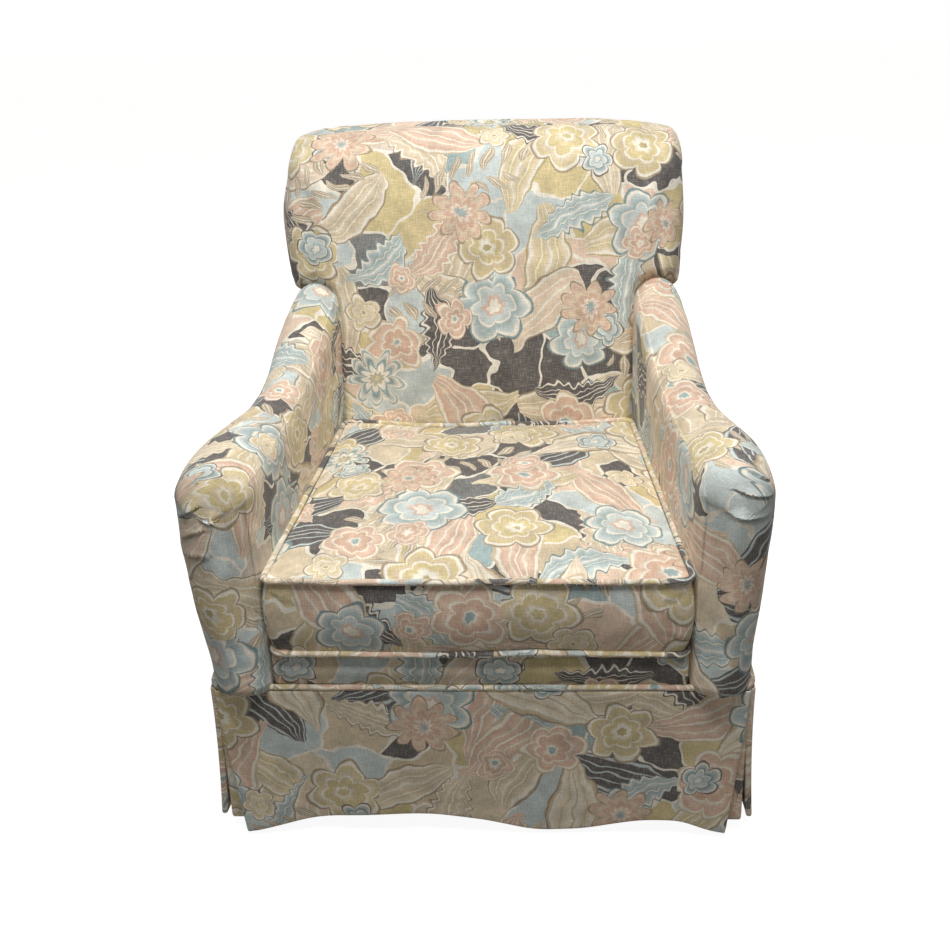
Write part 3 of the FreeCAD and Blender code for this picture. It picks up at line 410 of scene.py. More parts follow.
def blossom_motif():
    """A round blossom with lobed petals."""
    motif, given = new_motif("Blossom", ("Spacing", "Radius", "Petals", "Notch"), ("Reach", "Pick"))
    off, turn, chance = scattered(motif, given, 0.62)
    far = add(motif, "VectorMath", {0: off}, out="Value", operation="LENGTH")
    flat = add(motif, "SeparateXYZ", {0: off}, out=None)
    angle = add(motif, "Math", {0: flat[1], 1: flat[0]}, operation="ARCTAN2")
    phase = add(motif, "Math", {0: angle, 1: given["Petals"], 2: turn}, operation="MULTIPLY_ADD")
    lobe = add(motif, "Math", {0: phase}, operation="COSINE")
    lobe = add(motif, "Math", {0: lobe, 1: 0.5, 2: 0.5}, operation="MULTIPLY_ADD")
    lobe = add(motif, "Math", {0: lobe, 1: 0.38}, operation="POWER")
    least = add(motif, "Math", {0: 1.0, 1: given["Notch"]}, operation="SUBTRACT")
    edge = add(motif, "Math", {0: lobe, 1: given["Notch"], 2: least}, operation="MULTIPLY_ADD")
    size = add(motif, "Math", {0: chance[1], 1: 0.35, 2: 0.78}, operation="MULTIPLY_ADD")
    size = add(motif, "Math", {0: size, 1: given["Radius"]}, operation="MULTIPLY")
    edge = add(motif, "Math", {0: edge, 1: size}, operation="MULTIPLY")
    reach = add(motif, "Math", {0: far, 1: edge}, operation="DIVIDE")
    add(motif, "NodeGroupOutput", {"Reach": reach, "Pick": chance[2]}, out=None)
    return motif


def leaf_motif():
    """A bent leaf, broader at its foot, with an even or a toothed edge."""
    motif, given = new_motif("Leaf", ("Spacing", "Length", "Width", "Teeth"), ("Reach", "Pick"))
    off, turn, chance = scattered(motif, given, 0.70)
    turned = add(motif, "VectorRotate", {"Vector": off, "Angle": turn}, rotation_type="Z_AXIS")
    flat = add(motif, "SeparateXYZ", {0: turned}, out=None)
    along = add(motif, "Math", {0: flat[0], 1: given["Length"]}, operation="DIVIDE")
    along = add(motif, "Math", {0: along, 1: 2.0}, operation="MULTIPLY")
    square = add(motif, "Math", {0: along, 1: along}, operation="MULTIPLY")
    bend = add(motif, "Math", {0: chance[1], 1: 0.5}, operation="SUBTRACT")
    bend = add(motif, "Math", {0: bend, 1: given["Width"]}, operation="MULTIPLY")
    across = add(motif, "Math", {0: square, 1: bend, 2: flat[1]}, operation="MULTIPLY_ADD")
    across = add(motif, "Math", {0: across}, operation="ABSOLUTE")
    body = add(motif, "Math", {0: 1.0, 1: square}, operation="SUBTRACT")
    body = add(motif, "Math", {0: body, 1: 0.0001}, operation="MAXIMUM")
    egg = add(motif, "Math", {0: along, 1: -0.4, 2: 1.0}, operation="MULTIPLY_ADD")
    teeth = add(motif, "Math", {0: along, 1: 26.0}, operation="MULTIPLY")
    teeth = add(motif, "Math", {0: teeth}, operation="SINE")
    egg = add(motif, "Math", {0: teeth, 1: given["Teeth"], 2: egg}, operation="MULTIPLY_ADD")
    half = add(motif, "Math", {0: body, 1: egg}, operation="MULTIPLY")
    half = add(motif, "Math", {0: half, 1: given["Width"]}, operation="MULTIPLY")
    half = add(motif, "Math", {0: half, 1: 0.5}, operation="MULTIPLY")
    reach = add(motif, "Math", {0: across, 1: half}, operation="DIVIDE")
    add(motif, "NodeGroupOutput", {"Reach": reach, "Pick": chance[2]}, out=None)
    return motif


def sprig_motif():
    """A curved stem with pairs of leaflets."""
    motif, given = new_motif("Sprig", ("Spacing", "Length", "Pitch"), ("Reach", "Pick"))
    off, turn, chance = scattered(motif, given, 0.60)
    turned = add(motif, "VectorRotate", {"Vector": off, "Angle": turn}, rotation_type="Z_AXIS")
    flat = add(motif, "SeparateXYZ", {0: turned}, out=None)
    square = add(motif, "Math", {0: flat[0], 1: flat[0]}, operation="MULTIPLY")
    across = add(motif, "Math", {0: square, 1: 2.2, 2: flat[1]}, operation="MULTIPLY_ADD")
    across = add(motif, "Math", {0: across}, operation="ABSOLUTE")
    slant = add(motif, "Math", {0: across, 1: -0.7, 2: flat[0]}, operation="MULTIPLY_ADD")
    step = add(motif, "Math", {0: slant, 1: given["Pitch"]}, operation="DIVIDE")
    step = add(motif, "Math", {0: step}, operation="FRACT")
    step = add(motif, "Math", {0: step, 1: 0.5}, operation="SUBTRACT")
    step = add(motif, "Math", {0: step}, operation="ABSOLUTE")
    out = add(motif, "Math", {0: across, 1: given["Pitch"]}, operation="DIVIDE")
    out = add(motif, "Math", {0: out, 1: 0.75}, operation="SUBTRACT")
    out = add(motif, "Math", {0: out, 1: 0.62}, operation="DIVIDE")
    out = add(motif, "Math", {0: out, 1: out}, operation="MULTIPLY")
    body = add(motif, "Math", {0: 1.0, 1: out}, operation="SUBTRACT")
    body = add(motif, "Math", {0: body, 1: 0.0001}, operation="MAXIMUM")
    body = add(motif, "Math", {0: body, 1: 0.36}, operation="MULTIPLY")
    reach = add(motif, "Math", {0: step, 1: body}, operation="DIVIDE")
    end = add(motif, "Math", {0: flat[0]}, operation="ABSOLUTE")
    half = add(motif, "Math", {0: given["Length"], 1: 0.5}, operation="MULTIPLY")
    beyond = add(motif, "Math", {0: end, 1: half}, operation="GREATER_THAN")
    reach = add(motif, "Math", {0: beyond, 1: 9.0, 2: reach}, operation="MULTIPLY_ADD")
    add(motif, "NodeGroupOutput", {"Reach": reach, "Pick": chance[2]}, out=None)
    return motif


def lay(tree, under, drawn, inks, share):
    """Prints a motif over what lies under it. Each picks one of the ink sets; a share of them is printed."""
    part = add(tree, "Math", {0: drawn["Reach"], 1: 0.5}, operation="MULTIPLY")
    colour = cover = None
    for number, stops in enumerate(inks):
        ink = add(tree, "ValToRGB", {0: part}, out=None, stops=stops)
        if colour is None:
            colour, cover = ink[0], ink[1]
            continue
        least = share * number / len(inks)
        chosen = add(tree, "Math", {0: drawn["Pick"], 1: least}, operation="GREATER_THAN")
        colour = add(tree, "Mix", {0: chosen, 6: colour, 7: ink[0]}, out=2, data_type="RGBA")
        cover = add(tree, "Mix", {0: chosen, 2: cover, 3: ink[1]}, data_type="FLOAT")
    shown = add(tree, "Math", {0: drawn["Pick"], 1: share}, operation="LESS_THAN")
    shown = add(tree, "Math", {0: shown, 1: cover}, operation="MULTIPLY")
    return add(tree, "Mix", {0: shown, 6: under, 7: colour}, out=2, data_type="RGBA")


def leaf_inks(fill, vein, line, edge):
    """A leaf's inks from its midrib to its edge, in halves of its reach."""
    return [(0, line), (0.015, line), (0.03, vein), (0.15, fill), (0.17, line), (0.185, line), (0.20, fill),
            (0.36, vein), (0.39, line), (0.43, line), (0.45, edge), (0.485, edge), (0.495, None)]


def petal_inks(heart, ring, inner, fill, line, edge):
    """A blossom's inks from its heart to its edge, in halves of its reach."""
    return [(0, heart), (0.06, heart), (0.075, line), (0.09, line), (0.11, ring), (0.17, inner),
            (0.25, inner), (0.265, line), (0.28, line), (0.30, fill), (0.41, inner), (0.43, line),
            (0.455, line), (0.475, edge), (0.495, edge), (0.505, None)]


def stem_inks(line, edge, fill):
    """A sprig's inks from its leaflets' midribs to their edges, in halves of its reach."""
    return [(0, line), (0.14, edge), (0.27, fill), (0.38, edge), (0.46, None)]


def wavered(tree, cloth, flat, scale, detail, most):
    """Places on the cloth, pushed about by as much as half of most, in clouds of one size."""
    push = add(tree, "TexNoise", {"Vector": flat, "Scale": scale, "Detail": detail}, out="Color",
               noise_dimensions="2D")
    push = add(tree, "VectorMath", {0: push, 1: (0.5, 0.5, 0.5)}, operation="SUBTRACT")
    push = add(tree, "VectorMath", {0: push, "Scale": most}, operation="SCALE")
    return add(tree, "VectorMath", {0: cloth, 1: push}, operation="ADD")


def threads(tree, flat, spacing, uneven=0.0):
    """Warp and weft, high where both are on top: the threads' height, and in colour painted light on top and
    painted shade in the dips. A wave repeats every 0.314 at scale 1.
    """
    both = []
    for direction in ("X", "Y"):
        wave = {"Vector": flat, "Scale": 0.314 / spacing, "Distortion": uneven}
        both.append(add(tree, "TexWave", wave, out="Fac", bands_direction=direction))
    return add(tree, "Math", {0: both[0], 1: both[1]}, operation="MULTIPLY")


def printed_linen(inks, sizes):
    """Linen and cotton cloth, screen printed in soft inks: matt and slubby, its thread seen close to."""
    material, tree, shader = new_finish("printed linen", roughness=0.92, specular_ior_level=0.22,
                                        sheen_weight=0.12, sheen_roughness=0.5)
    flat = add(tree, "UVMap", uv_map="Cloth")
    # The screens' edges waver by up to 11 mm over 45 mm, as a brush-drawn design does
    cloth = wavered(tree, flat, flat, 22.0, 1.5, 0.022)
    # The ground's patches waver further, so that they have no straight edges
    drift = wavered(tree, cloth, flat, 9.0, 2.0, 0.11)
    ground = {"Vector": drift, "Scale": 1 / sizes.patch, "Randomness": 0.95}
    patch = add(tree, "TexVoronoi", ground, out="Color", voronoi_dimensions="2D")
    rim = add(tree, "TexVoronoi", ground, voronoi_dimensions="2D", feature="DISTANCE_TO_EDGE")
    pick = add(tree, "SeparateColor", {0: patch})
    colour = add(tree, "ValToRGB", {0: pick}, stops=[
        (0, inks.charcoal), (0.24, inks.charcoal), (0.245, inks.sky), (0.47, inks.sky), (0.475, inks.sand),
        (0.68, inks.tan), (0.685, inks.gold), (0.80, inks.gold), (0.805, inks.blush), (0.94, inks.blush),
        (0.945, inks.blue)])
    rim = add(tree, "Math", {0: rim, 1: 0.035}, operation="LESS_THAN")
    colour = add(tree, "Mix", {0: rim, 6: colour, 7: inks.cream}, out=2, data_type="RGBA")
    blossom, leaf, sprig = blossom_motif(), leaf_motif(), sprig_motif()
    length, radius = sizes.leaf, sizes.blossom
    # Each layer is shifted and turned on the cloth, so that no two line up. It has its motif, its shift and
    # turn, the motif's sizes, the share of its motifs that is printed, and the inks that they pick from
    layers = (
        (leaf, (0.37, 0.11), 0.0,
         {"Spacing": 0.15, "Length": length, "Width": 0.37 * length}, 0.95, leaf_inks,
         ("tan sand cream bark", "gold sand cream olive", "blush rose cream tan",
          "charcoal charcoal sky charcoal")),
        (leaf, (1.37, 0.71), 0.8,
         {"Spacing": 0.17, "Length": 0.75 * length, "Width": 0.30 * length, "Teeth": 0.16}, 0.8, leaf_inks,
         ("charcoal charcoal cream charcoal", "sand tan cream bark", "blush rose cream tan",
          "blue sky cream teal")),
        (leaf, (6.1, 3.3), 2.1,
         {"Spacing": 0.19, "Length": 1.05 * length, "Width": 0.42 * length}, 0.75, leaf_inks,
         ("blush rose cream tan", "sand cream tan bark", "blush sand cream bark")),
        (sprig, (2.3, 4.1), 0.3,
         {"Spacing": 0.25, "Length": 0.2, "Pitch": 0.03}, 0.6, stem_inks,
         ("cream bark sand",)),
        (blossom, (3.1, 1.7), 0.0,
         {"Spacing": 0.155, "Radius": radius, "Petals": 6.0, "Notch": 0.30}, 0.88, petal_inks,
         ("blue blush rose blush cream tan", "gold sand gold sand cream bark",
          "cream rose sky blue cream teal", "olive cream gold tan cream bark")),
        (blossom, (5.3, 2.2), 1.1,
         {"Spacing": 0.125, "Radius": 0.54 * radius, "Petals": 5.0, "Notch": 0.36}, 0.55, petal_inks,
         ("olive gold sand gold cream bark", "blue cream rose blush cream rose",
          "cream blue sky teal cream charcoal")),
        (blossom, (8.2, 5.7), 0.5,
         {"Spacing": 0.31, "Radius": 0.8 * radius, "Petals": 9.0, "Notch": 0.52}, 0.7, petal_inks,
         ("gold olive cream teal blue cream", "blue cream rose sand blush bark")),
    )
    for motif, (right, up), turn, measures, share, recipe, picks in layers:
        shift = {"Location": (right, up, 0.0), "Rotation": (0.0, 0.0, turn)}
        place = add(tree, "Mapping", {"Vector": cloth, **shift})
        drawn = add(tree, "Group", {"Cloth": place, **measures}, out=None, node_tree=motif)
        sets = [recipe(*(getattr(inks, ink) for ink in names.split())) for names in picks]
        colour = lay(tree, colour, drawn, sets, share)
    # The ink lies unevenly, in clouds about 35 mm wide
    wash = add(tree, "TexNoise", {"Vector": flat, "Scale": 28.0, "Detail": 4.0}, noise_dimensions="2D")
    wash = add(tree, "MapRange", {0: wash, 1: 0.25, 2: 0.75, 3: 0.80, 4: 1.12})
    # Slubs: thick places 14 mm long in threads 1.6 mm wide, in weft and warp, drawn coarse enough to show
    slubs = []
    for thick in ((70.0, 620.0, 1.0), (620.0, 70.0, 1.0)):
        yarn = add(tree, "Mapping", {"Vector": flat, "Scale": thick})
        yarn = add(tree, "TexNoise", {"Vector": yarn, "Scale": 1.0, "Detail": 2.0}, noise_dimensions="2D")
        slubs.append(yarn)
    slub = add(tree, "Math", {0: slubs[0], 1: slubs[1]}, operation="ADD")
    tone = add(tree, "MapRange", {0: slub, 1: 0.7, 2: 1.3, 3: 0.87, 4: 1.11})
    tone = add(tree, "Math", {0: wash, 1: tone}, operation="MULTIPLY")
    # The thickest threads take less ink, so that bare cloth shows on them
    bare = add(tree, "MapRange", {0: slub, 1: 1.0, 2: 1.35, 3: 0.0, 4: 0.16})
    colour = add(tree, "Mix", {0: bare, 6: colour, 7: inks.cream}, out=2, data_type="RGBA")
    colour = add(tree, "VectorMath", {0: colour, "Scale": tone}, operation="SCALE")
    # The threads are drawn about twice as coarse as real ones, to show. The colour takes painted shade in the
    # dips where a thread runs under and painted light where both threads lie on top
    weave = threads(tree, flat, sizes.thread)
    painted_weave_shade = add(tree, "MapRange", {0: weave, 1: 0.0, 2: 0.6, 3: 0.93, 4: 1.04})
    colour = add(tree, "VectorMath", {0: colour, "Scale": painted_weave_shade}, operation="SCALE")
    height = add(tree, "Math", {0: weave, 1: 0.5, 2: slub}, operation="MULTIPLY_ADD")
    bump = add(tree, "Bump", {"Height": height, "Strength": 0.55, "Distance": 0.0007})
    tree.links.new(colour, shader["Base Color"])
    tree.links.new(bump, shader["Normal"])
    return material


def woven_cloth(name, light, dark, thread, roughness, depth):
    """Plain undyed or dyed cloth whose single threads show: painted shade where they cross under, painted
    light where they lie over, and the yarn's own uneven tone.
    """
    material, tree, shader = new_finish(name, roughness=roughness, specular_ior_level=0.2, sheen_weight=0.1)
    flat = add(tree, "UVMap", uv_map="Cloth")
    weave = threads(tree, flat, thread, 0.6)
    # Uneven yarn, in patches about 8 mm long
    yarn = add(tree, "TexNoise", {"Vector": flat, "Scale": 120.0, "Detail": 3.0}, noise_dimensions="2D")
    share = add(tree, "Math", {0: weave, 1: yarn}, operation="ADD")
    share = add(tree, "MapRange", {0: share, 1: 0.3, 2: 1.3})
    # The dark tone is painted shade where threads cross under and the light tone painted light where they lie
    # over, mixed by the weave and the yarn's own uneven tone
    colour = add(tree, "Mix", {0: share, 6: linear(dark), 7: linear(light)}, out=2, data_type="RGBA")
    bump = add(tree, "Bump", {"Height": share, "Strength": 0.6, "Distance": depth})
    tree.links.new(colour, shader["Base Color"])
    tree.links.new(bump, shader["Normal"])
    return material


def worn_finish(name, light, dark, grain, roughness, metallic=0.0, stretch=(1.0, 1.0, 1.0), depth=0.0001,
                **constants):
    """Metal, rubber, plastic or wood: two tones and a roughness that follow its grain, in metres wide."""
    material, tree, shader = new_finish(name, metallic=metallic, **constants)
    place = add(tree, "TexCoord", out="Object")
    place = add(tree, "Mapping", {"Vector": place, "Scale": stretch})
    fine = add(tree, "TexNoise", {"Vector": place, "Scale": 1 / grain, "Detail": 4.0})
    cloud = add(tree, "TexNoise", {"Vector": place, "Scale": 0.08 / grain, "Detail": 2.0})
    share = add(tree, "Math", {0: fine, 1: cloud}, operation="ADD")
    share = add(tree, "MapRange", {0: share, 1: 0.7, 2: 1.3})
    colour = add(tree, "Mix", {0: share, 6: linear(dark), 7: linear(light)}, out=2, data_type="RGBA")
    rough = add(tree, "MapRange", {0: cloud, 1: 0.3, 2: 0.7, 3: roughness[0], 4: roughness[1]})
    bump = add(tree, "Bump", {"Height": fine, "Strength": 0.4, "Distance": depth})
    tree.links.new(colour, shader["Base Color"])
    tree.links.new(rough, shader["Roughness"])
    tree.links.new(bump, shader["Normal"])
    return material


def foam_finish():
    """Polyurethane foam: cream, matt, with open cells about 1 mm wide."""
    return bpy.data.materials.get("polyurethane foam") or worn_finish(
        "polyurethane foam", "#EADFC0", "#D2C294", 0.001, (0.9, 0.95), depth=0.0006)


def cover_cloth():
    """The printed linen of the covers, made once and shared."""
    scene = bpy.context.scene
    return bpy.data.materials.get("printed linen") or printed_linen(scene.glider_print, scene.glider_cloth)


# Arms
def arm_inner(y):
    """The arm's inner side, which draws in from the seat's front to the back."""
    return SEAT_HALF_FRONT - SEAT_DRAW_IN * np.clip((y - SEAT_FRONT) / (SEAT_DRAW_END - SEAT_FRONT), 0.0, 1.0)


def arm_outer(y):
    """The arm's outer side: widest at the nose, then as far out as the arm is wide."""
    return ARM_NOSE + (arm_inner(y) + ARM_WIDTH - ARM_NOSE) * ease((y + 0.288) / 0.236)


def arm_crest(y):
    """The arm's top line: high at the front, a dip, then up under the back's ears."""
    front, dip, climb = 0.648, 0.014, 0.062
    line = front - dip * ease((y + 0.258) / 0.174) + climb * ease((y + 0.035) / 0.292)
    ears, pressed = 0.6531 - (y - 0.4255) * RAKE_TAN, 0.004
    return np.minimum(line, ears + pressed)


def back_rear(z):
    """Where the back's rear plane is at a height."""
    return BACK_FOOT + (z - BODY_BOTTOM) * RAKE_TAN


def arm_section(y, around, side=0.0, top=0.0, full=0.0):
    """A point of the arm's section: around is up to 1 on the inside, 2 over the roll, 3 on the outside."""
    inner, outer = arm_inner(y) + side, arm_outer(y) - side
    radius = (outer - inner) / 2
    spring = arm_crest(y) - top - radius
    turn = math.pi * (1 - np.clip(around - 1, 0.0, 1.0))
    down = np.clip(around - 2, 0.0, 1.0)
    x = np.where(around <= 1, inner, (inner + outer) / 2 + radius * np.cos(turn))
    z = np.where(around <= 1, blend(BODY_BOTTOM, spring, around), spring + radius * np.sin(turn))
    x = np.where(around > 2, blend(outer, ARM_FOOT - side, down), x)
    z = np.where(around > 2, blend(spring, BODY_BOTTOM, down), z)
    # The padding makes the outside fuller, most of all at the front
    rise = (z - BODY_BOTTOM) / (arm_crest(y) - BODY_BOTTOM)
    share = np.interp(rise, [0.0, 0.15, 0.37, 0.65, 0.92, 1.0], [0.0, 0.3, 0.8, 1.0, 0.65, 0.5])
    outside = np.where(around > 2, 1.0, np.where(around > 1, np.maximum(np.cos(turn), 0.0), 0.0))
    x = x + full * share * outside * (1 - 0.75 * ease((y + 0.30) / 0.30))
    return x, z


def arm_patches(shift, full):
    """The left arm's cover as grids: the part behind the nose, the nose and front, and its outer edge."""
    side, top = 0.034, 0.052
    fine = np.linspace(0, 1, 33) ** 1.6
    around = np.concatenate([1 - fine[::-1], np.linspace(1, 2, 55)[1:], 2 + fine[1:]])
    inside_end, crest, outside_start = (int(np.argmin(abs(around - mark))) for mark in (1, 1.5, 2))
    begin, gap = ARM_FRONT + side, 0.006
    along = np.linspace(0, 1, 46)[:, None]
    around_grid = np.broadcast_to(around, (46, len(around)))
    # The rear edge follows the back's rake, so its place is found in a few rounds
    y = begin + along * (0.40 - begin) + 0 * around_grid
    for _ in range(4):
        x, z = arm_section(y, around_grid, full=full)
        y = begin + along * (back_rear(z) - gap / RAKE_COS - begin)
    x, z = arm_section(y, around_grid, full=full)
    body = stacked(x, y, z)
    girth = np.array([path_length(row) for row in body])
    girth -= girth[:, crest:crest + 1]
    turns = np.linspace(0, math.pi / 2, 25)
    nose = []
    at_nose = np.full(len(around), begin)
    edge_x, edge_z = arm_section(at_nose, around, full=full)
    for turn in turns:
        inset = 1 - math.cos(turn)
        nose_x, nose_z = arm_section(at_nose, around, side * inset, top * inset, full)
        nose.append(stacked(nose_x, begin - side * math.sin(turn), nose_z))
    edge = nose[-1]
    middle = (edge + edge[::-1]) / 2
    middle[:, 1] = edge[:, 1]
    roll = (around > 1) & (around < 2)
    middle[roll, 2] = edge[crest, 2] - (edge_x.max() - edge_x.min()) / 2 + side
    for share in np.linspace(0, 1, 13)[1:]:
        face = blend(edge, middle, share)
        face[:, 1] -= 0.004 * math.sin(share * math.pi / 2)
        nose.append(face)
    nose = np.array(nose)
    # On the nose the print is wrapped at first, then lies flat on the front
    flat_u = begin - 0.57 * side - (nose[..., 0] - edge_x[0])
    flat_v = girth[0, inside_end] + (nose[..., 2] - edge_z[inside_end])
    turned = np.concatenate([turns, np.full(12, math.pi / 2)])[:, None]
    wrapped = stacked(begin - side * turned, girth[0][None])
    flat = stacked(flat_u, flat_v)
    share = ease(np.concatenate([turns / (math.pi / 2), np.ones(12)]))[:, None, None]
    nose_cloth = blend(wrapped, flat, share)
    cut = outside_start + 1
    shift = np.array(shift)
    return [
        (body, stacked(y, girth) + shift),
        (nose[:, :cut], nose_cloth[:, :cut] + shift),
        (nose[:, cut - 1:], flat[:, cut - 1:] + shift),
    ]


def outer_panel_patches(shift, full):
    """The flat panel on the arm's outside: a thin pad from the skirt up to the roll, behind the nose."""
    rows, columns = np.meshgrid(np.linspace(0, 1, 22), np.linspace(0, 1, 40), indexing="ij")
    top, front, gap = 0.545, -0.301, 0.010
    z = blend(BODY_BOTTOM + 0.001, top, rows)
    y = blend(front, back_rear(z) - gap, columns)
    spring = arm_crest(y) - (arm_outer(y) - arm_inner(y)) / 2
    down = (spring - z) / (spring - BODY_BOTTOM)
    x, _ = arm_section(y, 2 + np.maximum(down, 1e-6), full=full)
    rim = np.minimum(np.minimum(rows, 1 - rows) * 0.256, np.minimum(columns, 1 - columns) * 0.66)
    swell = 0.0055 * (1 - np.exp(-rim / 0.009)) - 0.004 * np.exp(-rim / 0.0035)
    return [(stacked(x + swell, y, z), stacked(y, z) + np.array(shift))]


class CHAIR_OT_arms(bpy.types.Operator):
    """Upholster both arms: cloth up the inside, over the roll and round the nose, and panels outside"""
    bl_idname = "chair.arms"
    bl_label = "Arms"

    pleat_width, pleat_up = 0.0056, (0.0, -0.25, 0.97)
    pleats = {
        "left": [
            ((0.366, -0.300, 0.650), (0.380, -0.310, 0.648), (0.393, -0.320, 0.638)),
            ((0.356, -0.340, 0.645), (0.375, -0.346, 0.638), (0.395, -0.341, 0.626)),
            ((0.340, -0.361, 0.622), (0.364, -0.364, 0.614), (0.397, -0.345, 0.603)),
            ((0.334, -0.364, 0.586), (0.362, -0.366, 0.580), (0.395, -0.347, 0.573)),
        ],
        "right": [
            ((-0.367, -0.362, 0.600), (-0.388, -0.357, 0.588), (-0.411, -0.343, 0.572)),
            ((-0.362, -0.365, 0.567), (-0.388, -0.360, 0.553), (-0.413, -0.343, 0.540)),
            ((-0.360, -0.367, 0.526), (-0.386, -0.362, 0.520), (-0.412, -0.343, 0.515)),
        ],
    }

    def execute(self, context):
        sizes = context.scene.glider_cloth
        for name, shift, seed, full in (("left", (0.30, 0.20), 1, 0.004), ("right", (2.45, 1.35), 2, 0.014)):
            patches = arm_patches(shift, full)
            panel = outer_panel_patches((shift[0] + 1.1, shift[1] - 0.4), full)
            if name == "right":
                patches, panel = mirrored(patches), mirrored(panel)
            arm = sew("cover_arm_" + name, patches)
            x, y, z = places_of(arm).T
            held = (z < BODY_BOTTOM + 0.012) | (y > back_rear(z) - 0.030)
            free = np.clip((z - BODY_BOTTOM) / 0.12, 0.0, 1.0)
            inside = abs(x) < arm_inner(y) + 0.004
            puff(arm, held, np.where(inside, 0.003, 0.008) * free + 0.0005, sizes.fill)
            subdivide(arm)
            _, y, z = places_of(arm).T
            calm = np.clip((z - BODY_BOTTOM) / 0.10, 0.0, 1.0) * np.clip((0.36 - y) / 0.10, 0.0, 1.0)
            ripple(arm, sizes.ripple, 0.11, seed, calm)
            for line in self.pleats[name]:
                fold(arm, line, sizes.pleat, self.pleat_width, self.pleat_up)
            tidy(arm, close=True)
            behind_welt(arm)
            dress(arm, "chair", "printed_linen", cover_cloth(), "arm_" + name)
            board = sew("cover_arm_panel_" + name, panel)
            subdivide(board)
            ripple(board, 0.6 * sizes.ripple, 0.13, seed + 5)
            tidy(board, close=True)
            behind_welt(board)
            dress(board, "chair", "printed_linen", cover_cloth(), "arm_panel_" + name)
        return {"FINISHED"}


# Back
def back_point(u, n, w):
    """A place in the raked back: u across, n from its front to its rear, w up along it."""
    y = BACK_FOOT + w * RAKE_SIN + (n - BACK_DEPTH) * RAKE_COS
    return stacked(u, y, BODY_BOTTOM + w * RAKE_COS - (n - BACK_DEPTH) * RAKE_SIN)


def in_back(y, z):
    """How far from the back's front, and how far up along it, a place is."""
    n = (y - BACK_FOOT) * RAKE_COS - (z - BODY_BOTTOM) * RAKE_SIN + BACK_DEPTH
    return n, (y - BACK_FOOT) * RAKE_SIN + (z - BODY_BOTTOM) * RAKE_COS


def back_levels():
    """The upper back's levels from the ears' underside to the top: height, half width, set-back, turn."""
    sides = np.linspace(0, 1, 14)[:-1]
    turns = np.linspace(0, math.pi / 2, 13)
    rise = BACK_SHOULDER + TOP_RISE * np.sin(turns)
    height = np.concatenate([blend(BACK_OVERHANG, BACK_SHOULDER, sides), rise])
    # The sides lean in a little towards the top, and the top corners are close
    side_half = BACK_HALF - 0.013 * (1 - sides) ** 3 - BACK_LEAN * sides ** 2
    half = np.concatenate([side_half, SHOULDER_HALF - TOP_ROLL * (1 - np.cos(turns))])
    set_back = np.concatenate([0 * sides, TOP_SET_BACK * (1 - np.cos(turns))])
    lift = np.concatenate([0 * sides, np.sin(turns) ** 2])
    return height, half, set_back, lift


def back_crown(u, half):
    """How far the padded front stands out in the middle."""
    return 0.020 * np.clip(1 - (u / (half - BACK_CORNER)) ** 2, 0.0, 1.0)


def rear_drop(n):
    """The small round along the top's rear edge."""
    share = np.clip((n - (BACK_REAR - BACK_REAR_EDGE)) / BACK_REAR_EDGE, 0.0, 1.0)
    return BACK_REAR_EDGE * (1 - np.sqrt(1 - share ** 2 * 0.999))


